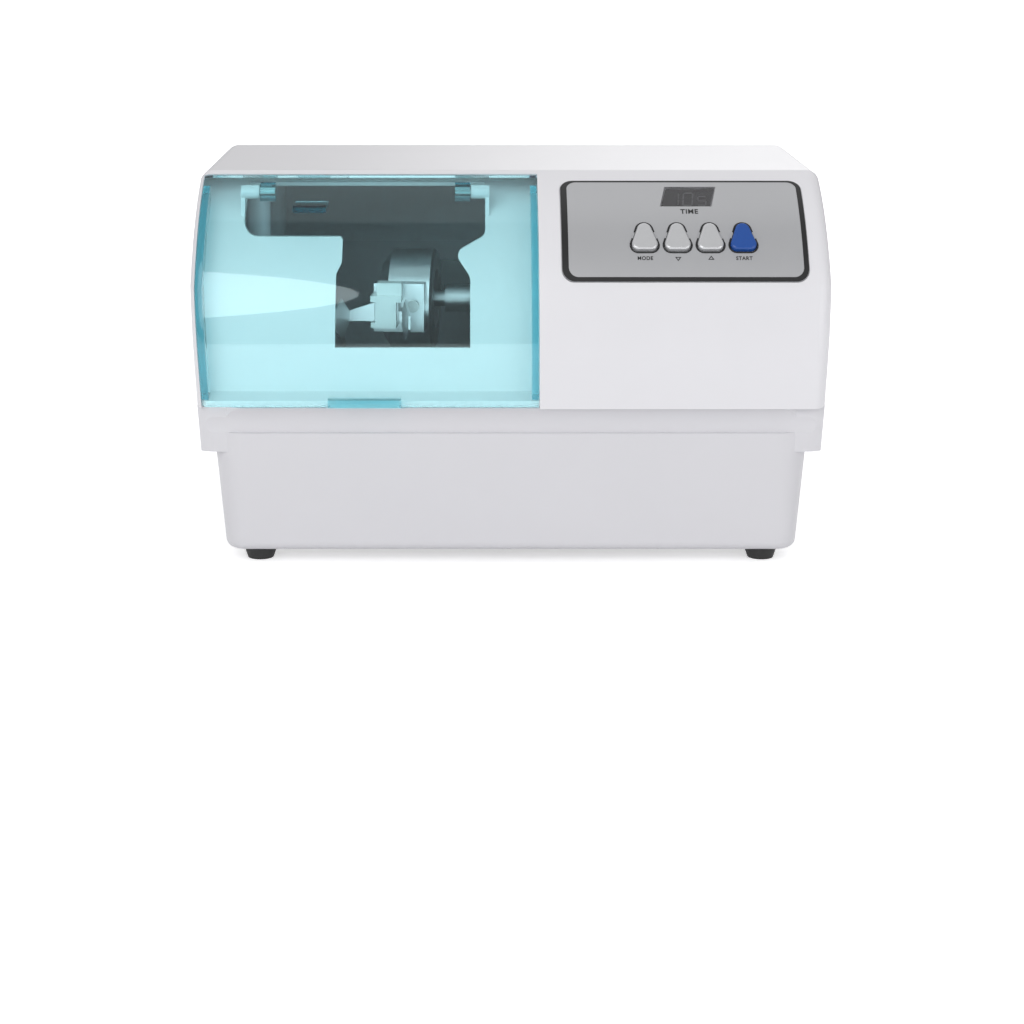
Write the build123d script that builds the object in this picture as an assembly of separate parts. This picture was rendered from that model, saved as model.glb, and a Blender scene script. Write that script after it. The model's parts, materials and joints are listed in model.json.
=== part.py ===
from build123d import *
import math
import os

os.makedirs("parts", exist_ok=True)

# Desktop mixer for dental capsules: a drafted tub, a roll-top shell with a flip cover,
# and a motor whose tilted journal shakes a sprung capsule clamp.
# Millimetres and degrees. X is right and Y is back as seen from the front, Z is up.
# The origin lies on the table, below the middle of the machine.

# Housing
tub_width = 220.0
tub_depth = 172.0
tub_front_y = -87.8
wall_draft = 6.4
foot_height = 5.0
tub_corner = 8.0
floor_edge_radius = 3.5
wall = 2.5
front_rim_z = 61.0
rear_rim_z = 100.0
top_z = 147.5
roll_radius = 75.0
roll_overhang = 7.0
crease_angle = 25.0
rim_overhang = 4.12
side_draft = 4.5
knee_share = 0.1263
edge_radius = 5.0
fit_gap = 0.3

# Front band, wings and rear scoops of the tub
band_bottom_z = 51.3
band_recess = 2.0
wing_front_z = 43.0
wing_rear_z = 70.5
scoop_x = 81.5
scoop_z = 55.0
scoop_length = 41.0
scoop_width = 11.5
scoop_lean = 6.0

# Feet and case screws
foot_inset_x = 12.8
foot_inset_y = 11.0
foot_top_radius = 6.75
foot_bottom_radius = 5.0
foot_screw_radius = 1.7
case_screw_inset = 17.4
case_screw_front_y = -25.0
case_screw_rear_y = 55.0
case_joint_drop = 12.0
case_boss_radius = 5.0
case_screw_radius = 1.7
case_head_radius = 3.4
case_screw_length = 22.0
case_web = 8.0

# Flip cover and the bay behind it
cover_wall = 2.2
cover_side_wall = 2.5
cover_side_depth = 9.0
cover_cheek = 2.0
cover_gap = 0.4
cover_right_x = 10.5
cover_bottom_gap = 0.8
hinge_angle = 32.0
hinge_pin_radius = 1.0
hinge_lug_radius = 2.6
knuckle_length = 6.0
shell_lip = 0.8
lip_width = 28.0
lip_centre_x = -56.0
lip_reach = 3.4
lip_height = 3.4
tab_left_x = -85.5
tab_width = 13.0
tab_z = 133.4
tab_thickness = 2.4
tab_reach = 5.0
bay_depth = 11.5
liner_wall = 2.0
liner_top_angle = 12.0
slot_left_x = -105.2
slot_right_x = -9.8
slot_low_z = 122.6
slot_high_z = 140.6
slot_corner = 6.0
neck_left_x = -65.9
window_left_x = -68.0
window_right_x = -15.7
window_low_z = 82.3
window_high_z = 109.5
lug_outside = 1.6
lug_inside = 5.6
lug_web_angle = 215.0
lug_web_reach = 9.5
lug_web_half = 1.6

# Control panel
panel_angle = 49.15
label_left_x = 19.7
label_right_x = 115.0
label_height = 46.5
label_corner = 5.0
label_thickness = 1.0
label_proud = 0.4
button_first_x = 51.9
button_pitch = 12.75
button_drop = 5.5
button_proud = 1.7
button_travel = 0.8
button_flange = 1.3
key_top_radius = 2.8
key_top_rise = 3.2
key_low_radius = 2.5
key_low_x = 2.5
key_low_drop = 3.3
display_x = 70.0
display_rise = 14.4
display_width = 20.0
display_height = 10.4
display_slant = 2.4
board_depth = 14.0
board_width = 86.0
board_height = 38.0
board_thickness = 1.6
switch_size = 6.0
switch_height = 4.0

# Drive
drive_y = tub_front_y + 52.0
drive_z = 93.7
wobble_x = -41.0
wobble_tilt = 5.0
shaft_radius = 5.5
neck_radius = 3.25
shaft_end_x = -26.0
running_gap = 0.05
journal_radius = 6.0
bearing_width = 8.0
bearing_radius = 14.0
bearing_pitch_radius = 10.0
ball_radius = 2.0
ball_count = 7
drum_radius = 20.0
drum_width = 20.0
drum_extra = 1.5
motor_radius = 26.0
motor_length = 70.0
motor_boss_radius = 10.8
bracket_thickness = 3.0
bracket_base_z = 44.0
isolator_height = 6.0
isolator_radius = 6.0
mount_screw_radius = 1.9
spring_radius = 4.0
spring_length = 17.0
spring_eye = 2.6
spring_wire = 1.2

# Capsule clamp, in the drum's own frame
clamp_front = 32.0
clamp_back = 24.0
strip_thickness = 0.8
strip_y = -28.4
paddle_depth = 11.0
paddle_height = 16.0
paddle_z = -2.9
arm_gap = 0.15
pad_screw_x = 4.75
pad_screw_z = 0.8
pad_screw_radius = 1.25

# Rear fittings, on a line along the rear wall
fitting_z = 18.5
fuse_xs = (63.0, 43.0)
fuse_cap_radius = 7.4
fuse_cap_length = 10.0
fuse_barrel_radius = 6.0
fuse_radius = 2.6
fuse_length = 20.0
rocker_x = 17.0
rocker_width = 21.0
rocker_height = 15.0
rocker_tilt = 8.0
selector_x = -23.0
selector_screw_offset = 14.0
selector_window_width = 13.0
selector_window_height = 6.2
selector_travel = 4.0
selector_screw_radius = 1.2
selector_depth = 3.0
grommet_x = -57.0
grommet_radius = 7.25
grommet_hole_radius = 6.0
boot_length = 20.0

# Power supply on the tub floor
transformer_x = 69.0
transformer_y = 24.0
transformer_z = 14.0
transformer_width = 58.0
transformer_depth = 40.0
transformer_height = 46.0
supply_x = -53.0
supply_y = 23.0
supply_z = 14.0
supply_width = 86.0
supply_depth = 56.0

# Cord
cord_diameter = 6.0
coil_centre_x = -60.0
coil_start_y = 318.0 + tub_front_y
coil_outer_radius = 44.5
coil_gap = 0.6
coil_half_turns = 6
coil_lead = 28.0
plug_boot_length = 30.0
plug_length = 38.0
plug_width = 26.0
plug_height = 19.0


def sin(angle):
    return math.sin(math.radians(angle))


def cos(angle):
    return math.cos(math.radians(angle))


def tan(angle):
    return math.tan(math.radians(angle))


# Values that follow from the driving sizes
roll_front_y = tub_front_y - roll_overhang
roll_y = roll_front_y + roll_radius
roll_z = top_z - roll_radius * cos(crease_angle)
rear_y = tub_front_y + tub_depth + tan(wall_draft) * (rear_rim_z - foot_height)
rear_radius = top_z - rear_rim_z
knee_z = rear_rim_z + knee_share * rear_radius
rim_slope = math.degrees(math.atan2(rear_rim_z - front_rim_z, rear_y - roll_front_y))
rim_half_width = tub_width / 2 + tan(wall_draft) * (front_rim_z - foot_height) + rim_overhang
half_width = rim_half_width + tan(side_draft) * (knee_z - front_rim_z)
floor_z = foot_height + wall
foot_x = tub_width / 2 - foot_inset_x
case_screw_x = rim_half_width - case_screw_inset
hinge_reach = cover_wall + cover_gap + hinge_lug_radius
tail_reach = hinge_reach * math.sqrt(2)
tail_angle = hinge_angle - math.degrees(hinge_reach / roll_radius)
knuckle_radius = hinge_lug_radius + 1.0
liner_radius = roll_radius - bay_depth
hinge_left_x = slot_left_x + lug_inside
hinge_right_x = slot_right_x - lug_inside
button_xs = [button_first_x + i * button_pitch for i in range(4)]
motor_base_z = bracket_base_z - bracket_thickness
post_top_z = motor_base_z - isolator_height


# Helpers
def block(x0, x1, y0, y1, z0, z1):
    return Pos((x0 + x1) / 2, (y0 + y1) / 2, (z0 + z1) / 2) * Box(x1 - x0, y1 - y0, z1 - z0)


def rod_x(radius, x0, x1, y=0.0, z=0.0):
    return Pos((x0 + x1) / 2, y, z) * Rot(0, 90, 0) * Cylinder(radius, x1 - x0)


def rod_z(radius, z0, z1, x=0.0, y=0.0):
    return Pos(x, y, (z0 + z1) / 2) * Cylinder(radius, z1 - z0)


def cone_z(radius0, radius1, z0, z1, x=0.0, y=0.0):
    return Pos(x, y, (z0 + z1) / 2) * Cone(radius0, radius1, z1 - z0)


def along_x(points, x0, x1):
    face = Plane.YZ.offset(x0) * Polygon(*points, align=None)
    return extrude(face, x1 - x0, dir=(1, 0, 0))


def along_y(points, y0, y1):
    face = Plane.XZ.offset(-y0) * Polygon(*points, align=None)
    return extrude(face, y1 - y0, dir=(0, 1, 0))


def roll_point(angle, radius):
    return (roll_y - radius * sin(angle), roll_z + radius * cos(angle))


def hinge_point():
    return roll_point(hinge_angle, roll_radius - hinge_reach)


def hinge_direction(angle, distance):
    # angle 0 points straight out of the roll, 90 towards the crease
    y, z = hinge_point()
    back = hinge_angle - angle
    return (y - distance * sin(back), z + distance * cos(back))


def panel_plane():
    y, z = roll_point(panel_angle, roll_radius)
    centre_x = (label_left_x + label_right_x) / 2
    return Plane(origin=(centre_x, y, z), x_dir=(1, 0, 0), z_dir=(0, -sin(panel_angle), cos(panel_angle)))


def rear_plane(x, z):
    y = tub_front_y + tub_depth + tan(wall_draft) * (z - foot_height)
    return Plane(origin=(x, y, z), x_dir=(-1, 0, 0), z_dir=(0, cos(wall_draft), -sin(wall_draft)))


def rim_plane(lift):
    return Plane(
        origin=(0, roll_front_y, front_rim_z + lift),
        x_dir=(1, 0, 0),
        z_dir=(0, -sin(rim_slope), cos(rim_slope)),
    )


def above_rim(lift):
    return rim_plane(lift) * Box(400, 900, 300, align=(Align.CENTER, Align.CENTER, Align.MIN))


def below_rim(lift):
    return rim_plane(lift) * Box(400, 900, 300, align=(Align.CENTER, Align.CENTER, Align.MAX))


def roll_band(inner, outer, top_angle, low_z, x0, x1):
    # a layer of the roll-top front between two radii, run straight down to low_z
    middle = (top_angle + 90) / 2
    with BuildSketch(Plane.YZ.offset(x0)) as sketch:
        with BuildLine():
            ThreePointArc(roll_point(top_angle, outer), roll_point(middle, outer), roll_point(90, outer))
            Line(roll_point(90, outer), (roll_y - outer, low_z))
            Line((roll_y - outer, low_z), (roll_y - inner, low_z))
            Line((roll_y - inner, low_z), roll_point(90, inner))
            ThreePointArc(roll_point(90, inner), roll_point(middle, inner), roll_point(top_angle, inner))
            Line(roll_point(top_angle, inner), roll_point(top_angle, outer))
        make_face()
    return extrude(sketch.sketch, x1 - x0)


# Outer form of the housing
def side_profile(inset, drop):
    radius = roll_radius - inset
    start = math.degrees(math.acos((top_z - inset - roll_z) / radius))
    rear_inner = rear_radius - inset
    rear_centre_y = rear_y - rear_radius
    front = roll_y - radius
    back = rear_y - inset
    top = top_z - inset
    with BuildSketch(Plane.YZ) as sketch:
        with BuildLine():
            Line((front, front_rim_z - drop), (front, roll_z))
            ThreePointArc((front, roll_z), roll_point((90 + start) / 2, radius), roll_point(start, radius))
            Line(roll_point(start, radius), (rear_centre_y, top))
            ThreePointArc(
                (rear_centre_y, top),
                (rear_centre_y + rear_inner * sin(45), rear_rim_z + rear_inner * cos(45)),
                (back, rear_rim_z),
            )
            if drop:
                Line((back, rear_rim_z), (back, rear_rim_z - drop))
            Line((back, rear_rim_z - drop), (front, front_rim_z - drop))
        make_face()
    return sketch.sketch


def front_outline(inset, low_z):
    low = rim_half_width - inset - tan(side_draft) * (front_rim_z - low_z)
    high = half_width - inset
    top = top_z + 20
    points = [(-low, low_z), (low, low_z), (high, knee_z), (high, top), (-high, top), (-high, knee_z)]
    return Plane.XZ * Polygon(*points, align=None)


def within_sides(inset):
    return extrude(front_outline(inset, 0.0), 300, both=True)


def side_edges(solid):
    # the edges where the rolled front, top and back meet the two sides
    edges = []
    for edge in solid.edges():
        box = edge.bounding_box()
        at_side = box.size.X < 15 and abs(edge.center().X) > 100
        level = box.size.Z < 0.01 and abs(edge.center().Z - knee_z) < 0.01
        along_rim = box.size.Y > 100 and box.size.Z > 5 and edge.center().Z < knee_z
        if at_side and not level and not along_rim:
            edges.append(edge)
    return edges


def upper_volume(inset, drop, radius):
    raw = extrude(side_profile(inset, drop), 150, both=True) & within_sides(inset)
    return fillet(side_edges(raw), radius)


# Tub
def drafted_box(side, front, back, low_z, height, corner):
    grow = tan(wall_draft) * (low_z - foot_height)
    width = tub_width + 2 * (grow - side)
    depth = tub_depth + 2 * grow - front - back
    centre_y = tub_front_y + tub_depth / 2 + (front - back) / 2
    base = Pos(0, centre_y, low_z) * RectangleRounded(width, depth, corner)
    return extrude(base, height, taper=-wall_draft)


def scoop(grow):
    half = scoop_length / 2 + grow
    deep = scoop_width / 2 + grow
    with BuildSketch(Plane.XZ) as sketch:
        with BuildLine():
            ThreePointArc((0, -half), (deep, 0), (0, half))
            Line((0, half), (0, -half))
        make_face()
    leaf = revolve(sketch.sketch, Axis.Z, 360)
    return leaf


def scoops(grow):
    result = []
    for side in (-1, 1):
        spot = rear_plane(side * scoop_x, scoop_z).origin
        turn = Rot(-wall_draft, 0, 0) * Rot(0, side * scoop_lean, 0)
        result.append(Pos(spot.X, spot.Y, spot.Z) * turn * scoop(grow))
    return result


def wings():
    # the side flanges that widen the tub up to the shell
    height = 110.0
    slab = drafted_box(-12, band_recess, 0, foot_height, height, tub_corner) & within_sides(0)
    slope = math.degrees(math.atan2(wing_rear_z - wing_front_z, rear_y - roll_front_y))
    lower = Plane(origin=(0, roll_front_y, wing_front_z), x_dir=(1, 0, 0), z_dir=(0, -sin(slope), cos(slope)))
    slab -= lower * Box(400, 900, 300, align=(Align.CENTER, Align.CENTER, Align.MAX))
    return slab - above_rim(0)


def front_band():
    face_y = tub_front_y - tan(wall_draft) * (band_bottom_z - foot_height)
    rim_y = tub_front_y - tan(wall_draft) * (front_rim_z - foot_height)
    outside = rim_y - 20
    middle = (face_y + band_recess - 0.3, (band_bottom_z + front_rim_z) / 2)
    with BuildSketch(Plane.YZ.offset(-200)) as sketch:
        with BuildLine():
            Line((outside, band_bottom_z), (face_y + band_recess, band_bottom_z))
            ThreePointArc((face_y + band_recess, band_bottom_z), middle, (rim_y, front_rim_z))
            Line((rim_y, front_rim_z), (outside, front_rim_z))
            Line((outside, front_rim_z), (outside, band_bottom_z))
        make_face()
    return extrude(sketch.sketch, 400)


def case_screw_places():
    return [(x, y) for x in (-case_screw_x, case_screw_x) for y in (case_screw_front_y, case_screw_rear_y)]


def case_joint_z(y):
    return rim_height(y) - case_joint_drop


def rim_height(y):
    return front_rim_z + tan(rim_slope) * (y - roll_front_y)


def foot_places():
    front = tub_front_y + foot_inset_y
    back = tub_front_y + tub_depth - foot_inset_y
    return {
        "foot_front_left": (-foot_x, front),
        "foot_front_right": (foot_x, front),
        "foot_rear_left": (-foot_x, back),
        "foot_rear_right": (foot_x, back),
    }


def motor_posts():
    half_y = motor_radius - 5
    return [(x, drive_y + side * half_y) for x in (8.0, motor_length - 4) for side in (-1, 1)]


def corners(x, y, width, depth):
    return [(x + i * width / 2, y + j * depth / 2) for i in (-1, 1) for j in (-1, 1)]


def transformer_posts():
    return corners(transformer_x, transformer_y, transformer_width - 8, transformer_depth + 8)


def supply_posts():
    return corners(supply_x, supply_y, supply_width - 8, supply_depth - 8)


def make_base_tub():
    height = 120.0
    body = drafted_box(0, 0, 0, foot_height, height, tub_corner)
    body = fillet(body.faces().sort_by(Axis.Z)[0].edges(), floor_edge_radius)
    front_wall = wall + band_recess
    cavity = drafted_box(wall, front_wall, wall, floor_z, height, tub_corner - wall)
    for pit in scoops(wall):
        cavity -= pit
    for x, y in case_screw_places():
        cavity -= rod_z(case_boss_radius, 0, case_joint_z(y), x, y)
    for x, y in motor_posts():
        cavity -= rod_z(isolator_radius, 0, post_top_z, x, y)
    for x, y in transformer_posts():
        cavity -= rod_z(4.0, 0, transformer_z, x, y)
    for x, y in supply_posts():
        cavity -= rod_z(3.5, 0, supply_z, x, y)
    body += wings()
    body -= cavity
    body -= front_band()
    body -= above_rim(0)
    for pit in scoops(0):
        body -= pit
    for x, y in case_screw_places():
        top = case_joint_z(y)
        body -= rod_z(case_head_radius + 0.2, 0, top - case_web, x, y)
        body -= rod_z(case_screw_radius + 0.1, 0, top, x, y)
    screw_hole = mount_screw_radius + running_gap
    for x, y in motor_posts():
        body -= rod_z(screw_hole, post_top_z - 10, post_top_z, x, y)
    for x, y in transformer_posts():
        body -= rod_z(screw_hole, floor_z, transformer_z, x, y)
    for x, y in supply_posts():
        body -= rod_z(screw_hole, floor_z, supply_z, x, y)
    for x, y in foot_places().values():
        body -= rod_z(foot_screw_radius + running_gap, foot_height - 1, floor_z + 1, x, y)
    for x in fuse_xs:
        body -= rear_hole(x, fuse_barrel_radius + 0.1)
    body -= rear_slot(rocker_x, rocker_width - 2, rocker_height - 2)
    body -= rear_slot(selector_x, selector_window_width, selector_window_height)
    for side in (-1, 1):
        body -= rear_hole(selector_x + side * selector_screw_offset, selector_screw_radius + running_gap)
    body -= rear_hole(grommet_x, grommet_hole_radius)
    return body


def rear_hole(x, radius):
    return rear_plane(x, fitting_z) * Cylinder(radius, 12)


def rear_slot(x, width, height):
    return rear_plane(x, fitting_z) * Box(width, height, 12)


# Upper shell
def bay_region(side_inset, right_x, inner, top_angle):
    raw = roll_band(inner, roll_radius + 8, top_angle, 20, -200, right_x)
    return raw & within_sides(side_inset)


def lip_angle():
    # where the shell's edge above the cover is still thick enough
    reach = tail_reach + cover_gap
    drop = hinge_reach - shell_lip
    along = math.sqrt(reach ** 2 - drop ** 2)
    return hinge_angle - math.degrees(along / (roll_radius - shell_lip))


def label_prism(grow, depth0, depth1):
    width = label_right_x - label_left_x + 2 * grow
    height = label_height + 2 * grow
    base = panel_plane().offset(depth0) * RectangleRounded(width, height, label_corner)
    return extrude(base, depth1 - depth0)


def pick_outline(grow):
    top = Pos(0, key_top_rise) * Circle(key_top_radius + grow)
    left = Pos(-key_low_x, -key_low_drop) * Circle(key_low_radius + grow)
    right = Pos(key_low_x, -key_low_drop) * Circle(key_low_radius + grow)
    return make_hull((top + left + right).edges())


def button_prism(x, grow, depth0, depth1):
    centre_x = (label_left_x + label_right_x) / 2
    base = panel_plane().offset(depth0) * Pos(x - centre_x, -button_drop) * pick_outline(grow)
    return extrude(base, depth1 - depth0)


def display_prism(grow, depth0, depth1):
    centre_x = (label_left_x + label_right_x) / 2
    half = display_width / 2 + grow
    high = display_height / 2 + grow
    lean = display_slant / 2
    outline = Polygon(
        (-half - lean, -high), (half - lean, -high), (half + lean, high), (-half + lean, high), align=None
    )
    base = panel_plane().offset(depth0) * Pos(display_x - centre_x, display_rise) * outline
    return extrude(base, depth1 - depth0)


def board_posts():
    half_x = board_width / 2 - 4
    half_y = board_height / 2 - 4
    return [(x, y) for x in (-half_x, half_x) for y in (-half_y, half_y)]


def panel_layer(inner, outer):
    return roll_band(inner, outer, crease_angle + 1, roll_z - 1, label_left_x - 5, label_right_x + 5)


def make_upper_shell():
    outer = upper_volume(0, 0, edge_radius)
    inner = upper_volume(wall, 40, edge_radius - wall)
    shell = outer - inner
    shell -= bay_region(cover_cheek, cover_right_x + cover_gap, liner_radius, lip_angle())
    y, z = hinge_point()
    clearance = rod_x(tail_reach + cover_gap, -200, cover_right_x + cover_gap, y, z)
    shell -= clearance & within_sides(cover_cheek)
    seat = panel_layer(roll_radius - label_thickness + label_proud - 0.1, roll_radius + 3)
    shell -= seat & label_prism(0.15, -12, 6)
    for x in button_xs:
        shell -= button_prism(x, fit_gap, -12, 6)
    shell -= display_prism(-0.4, -12, 6)
    posts = []
    for x, v in board_posts():
        spot = panel_plane().offset(-board_depth) * Pos(x, v)
        post = spot * Cylinder(3.0, 14, align=(Align.CENTER, Align.CENTER, Align.MIN))
        posts.append(post & inner)
    for post in posts:
        shell += post
    for x, v in board_posts():
        spot = panel_plane().offset(-board_depth) * Pos(x, v)
        shell -= spot * Cylinder(1.1, 12, align=(Align.CENTER, Align.CENTER, Align.CENTER))
    for x, y in case_screw_places():
        low = case_joint_z(y)
        shell += rod_z(case_boss_radius, low, top_z, x, y) & inner
        shell -= rod_z(case_screw_radius, low, low + case_screw_length - case_web, x, y)
    return shell


# Flip cover
def cover_limits(side_inset, right_x):
    return within_sides(side_inset) & block(-200, right_x, -300, 300, -50, 300)


def knuckle_spans():
    left = hinge_left_x + cover_gap
    right = hinge_right_x - cover_gap
    return [(left, left + knuckle_length), (right - knuckle_length, right)]


def make_flip_cover(outer):
    side_inset = cover_cheek + cover_gap
    skin_radius = roll_radius - cover_wall
    limits = cover_limits(side_inset, cover_right_x)
    cover = outer & roll_band(roll_radius - cover_side_depth, roll_radius + 2, hinge_angle, 20, -200, 200)
    cover = cover & limits
    hollow = roll_band(roll_radius - 20, skin_radius, 0, 20, -200, 200)
    cover -= hollow & cover_limits(side_inset + cover_side_wall, cover_right_x - cover_side_wall)
    cover -= below_rim(cover_bottom_gap)
    shelf_room = below_rim(liner_wall + cover_gap + 0.4)
    cover -= shelf_room & block(-200, 200, roll_front_y + cover_wall, 100, 0, 200)
    # behind the hinge the skin runs on to the shell, and swings down inside it as the cover opens
    y, z = hinge_point()
    tail = outer & roll_band(skin_radius, roll_radius + 2, tail_angle, 20, -200, 200)
    cover += tail & rod_x(tail_reach, -200, 200, y, z) & limits
    for x0, x1 in knuckle_spans():
        cover += rod_x(knuckle_radius, x0, x1, y, z)
        cover -= rod_x(hinge_pin_radius + running_gap, x0 - 1, x1 + 1, y, z)
    tab_y = roll_y - math.sqrt(skin_radius ** 2 - (tab_z - roll_z) ** 2) - 0.75 * cover_wall
    half = tab_thickness / 2
    cover += block(tab_left_x, tab_left_x + tab_width, tab_y, y + tab_reach, tab_z - half, tab_z + half)
    lip_low = front_rim_z + cover_bottom_gap
    lip = block(
        lip_centre_x - lip_width / 2,
        lip_centre_x + lip_width / 2,
        roll_front_y - lip_reach,
        roll_front_y + cover_wall / 2,
        lip_low,
        lip_low + lip_height,
    )
    lip = fillet(lip.faces().sort_by(Axis.Y)[0].edges(), 1.4)
    return cover + lip


def make_hinge_pins():
    y, z = hinge_point()
    (left, left_end), (right_start, right) = knuckle_spans()
    return [
        rod_x(hinge_pin_radius, slot_left_x - lug_outside, left_end, y, z),
        rod_x(hinge_pin_radius, right_start, slot_right_x + lug_outside, y, z),
    ]


# Bay liner
def liner_opening():
    points = [
        (slot_left_x, slot_high_z),
        (slot_right_x, slot_high_z),
        (slot_right_x, slot_low_z + 0.5),
        (window_right_x - 6.3, slot_low_z - 5.6),
        (window_right_x, window_high_z - 1),
        (window_right_x, window_low_z),
        (window_left_x, window_low_z),
        (window_left_x, window_high_z),
        (neck_left_x, window_high_z + 4),
        (neck_left_x, slot_low_z),
        (slot_left_x, slot_low_z),
    ]
    face = Plane.XZ * Polygon(*points, align=None)
    rounds = {2: 3.0, 3: 3.0, 4: 5.0, 7: 2.5, 8: 2.0, 9: 1.5, 10: slot_corner}
    for index, radius in rounds.items():
        x, z = points[index]
        corner = [v for v in face.vertices() if abs(v.X - x) < 0.01 and abs(v.Z - z) < 0.01]
        if corner:
            face = fillet(corner, radius)
    return extrude(face, 200, both=True)


def make_bay_liner():
    right_x = cover_right_x + cover_gap + liner_wall
    back_radius = liner_radius - liner_wall
    low_z = front_rim_z - 5
    sheet = roll_band(back_radius, liner_radius, liner_top_angle, low_z, -200, right_x)
    wall_radius = roll_radius - wall - 0.2
    side = roll_band(back_radius, wall_radius, lip_angle(), low_z, right_x - liner_wall, right_x)
    liner = sheet + side
    shelf = block(-200, right_x, roll_front_y + cover_wall + cover_gap, roll_y - back_radius, 40, 90)
    liner += shelf & below_rim(liner_wall + 0.2)
    top_y, top_low = roll_point(liner_top_angle, back_radius)
    liner += block(-200, right_x, top_y - 1, top_y - 1 + liner_wall, top_low - 0.5, top_z - wall)
    liner = liner & above_rim(0.2) & upper_volume(wall, 40, edge_radius - wall)
    liner -= liner_opening() & block(-200, 200, -200, top_y - 3, 0, 200)
    y, z = hinge_point()
    foot_y, foot_z = hinge_direction(lug_web_angle, lug_web_reach)
    side_y, side_z = hinge_direction(lug_web_angle + 90, lug_web_half)
    step_y = side_y - y
    step_z = side_z - z
    web = [
        (y + step_y, z + step_z),
        (y - step_y, z - step_z),
        (foot_y - step_y, foot_z - step_z),
        (foot_y + step_y, foot_z + step_z),
    ]
    for outer_x, edge_x, inner_x in (
        (slot_left_x - lug_outside, slot_left_x, hinge_left_x),
        (slot_right_x + lug_outside, slot_right_x, hinge_right_x),
    ):
        liner += along_x(web, min(outer_x, edge_x), max(outer_x, edge_x))
        ends = sorted((outer_x, inner_x))
        liner += rod_x(hinge_lug_radius, ends[0], ends[1], y, z)
        liner -= rod_x(hinge_pin_radius, ends[0], ends[1], y, z)
    return liner


# Control panel
def make_control_label():
    low = roll_radius - label_thickness + label_proud
    label = panel_layer(low, roll_radius + label_proud) & label_prism(0, -12, 6)
    for x in button_xs:
        label -= button_prism(x, fit_gap, -12, 6)
    label -= display_prism(0.1, -12, 6)
    return label


def make_display_window():
    low = roll_radius - label_thickness + label_proud
    return panel_layer(low, roll_radius + label_proud) & display_prism(0, -12, 6)


def display_window_depth():
    # how far the roll has dropped below the panel's tangent plane at the display
    return roll_radius * (1 - cos(math.degrees(display_rise / roll_radius)))


def make_display_module():
    centre_x = (label_left_x + label_right_x) / 2
    spot = panel_plane().offset(-board_depth) * Pos(display_x - centre_x, display_rise - 1.0)
    high = board_depth - display_window_depth() - wall - 2.6
    case = spot * Box(22.0, 9.6, high, align=(Align.CENTER, Align.CENTER, Align.MIN))
    return case


def make_button(x):
    inner = -wall - 1.3
    key = button_prism(x, 0, inner, button_proud)
    top = key.faces().sort_by(Axis(panel_plane().origin, panel_plane().z_dir))[-1]
    key = fillet(top.edges(), 0.8)
    key += button_prism(x, button_flange, inner - 1.0, inner)
    centre_x = (label_left_x + label_right_x) / 2
    stem_end = -board_depth + switch_height + button_travel + 0.1
    spot = panel_plane().offset(stem_end) * Pos(x - centre_x, -button_drop)
    key += spot * Cylinder(1.7, inner - stem_end, align=(Align.CENTER, Align.CENTER, Align.MIN))
    return key


def make_switches():
    centre_x = (label_left_x + label_right_x) / 2
    switches = []
    for x in button_xs:
        spot = panel_plane().offset(-board_depth) * Pos(x - centre_x, -button_drop)
        standing = (Align.CENTER, Align.CENTER, Align.MIN)
        base = spot * Box(switch_size, switch_size, switch_height - 0.8, align=standing)
        base += spot * Cylinder(1.6, switch_height, align=standing)
        switches.append(base)
    return switches


def make_panel_board():
    low = -board_depth - board_thickness
    board = extrude(panel_plane().offset(low) * Rectangle(board_width, board_height), board_thickness)
    for x, v in board_posts():
        board -= panel_plane().offset(low) * Pos(x, v) * Cylinder(1.5, 10)
    return board


def make_board_screws():
    low = -board_depth - board_thickness
    screws = []
    for x, v in board_posts():
        spot = panel_plane().offset(low) * Pos(x, v)
        head = spot * Cylinder(2.4, 1.4, align=(Align.CENTER, Align.CENTER, Align.MAX))
        shank = spot * Cylinder(1.05, 6.5, align=(Align.CENTER, Align.CENTER, Align.MIN))
        screws.append(head + shank)
    return screws


# Drive: the spindle's tilted journal sits in a bearing inside the drum
def wobble(shape):
    return Pos(wobble_x, drive_y, drive_z) * Rot(0, 0, -wobble_tilt) * shape


def make_spindle():
    shaft = rod_x(shaft_radius, shaft_end_x, 2 + 20, drive_y, drive_z)
    neck = rod_x(neck_radius, wobble_x + 6, shaft_end_x + 1, drive_y, drive_z)
    half = bearing_width / 2
    journal = rod_x(journal_radius, -half - 0.2, half)
    journal += rod_x(journal_radius + 2.0, half, half + 2.0)
    journal += rod_x(2.5, -half - 3.8, -half)
    return shaft + neck + wobble(journal)


def make_journal_nut():
    half = bearing_width / 2
    nut = Rot(0, 90, 0) * extrude(RegularPolygon(4.6, 6), 2.6)
    nut -= rod_x(2.5 + running_gap, -1, 4)
    washer = rod_x(6.8, -half - 1.1, -half - 0.25) - rod_x(2.5 + running_gap, -half - 2, -half)
    return wobble(Pos(-half - 3.7, 0, 0) * nut + washer)


def race_groove():
    return Rot(0, 90, 0) * Torus(bearing_pitch_radius, ball_radius + running_gap)


def make_inner_race():
    half = bearing_width / 2
    race = rod_x(bearing_pitch_radius - 1.1, -half, half) - rod_x(journal_radius + 0.02, -half - 1, half + 1)
    return wobble(race - race_groove())


def make_outer_race():
    half = bearing_width / 2
    race = rod_x(bearing_radius, -half, half) - rod_x(bearing_pitch_radius + 1.1, -half - 1, half + 1)
    return wobble(race - race_groove())


def make_bearing_balls():
    balls = []
    for i in range(ball_count):
        turn = 360 * i / ball_count
        y = bearing_pitch_radius * cos(turn)
        z = bearing_pitch_radius * sin(turn)
        balls.append(wobble(Pos(0, y, z) * Sphere(ball_radius)))
    return balls


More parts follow.
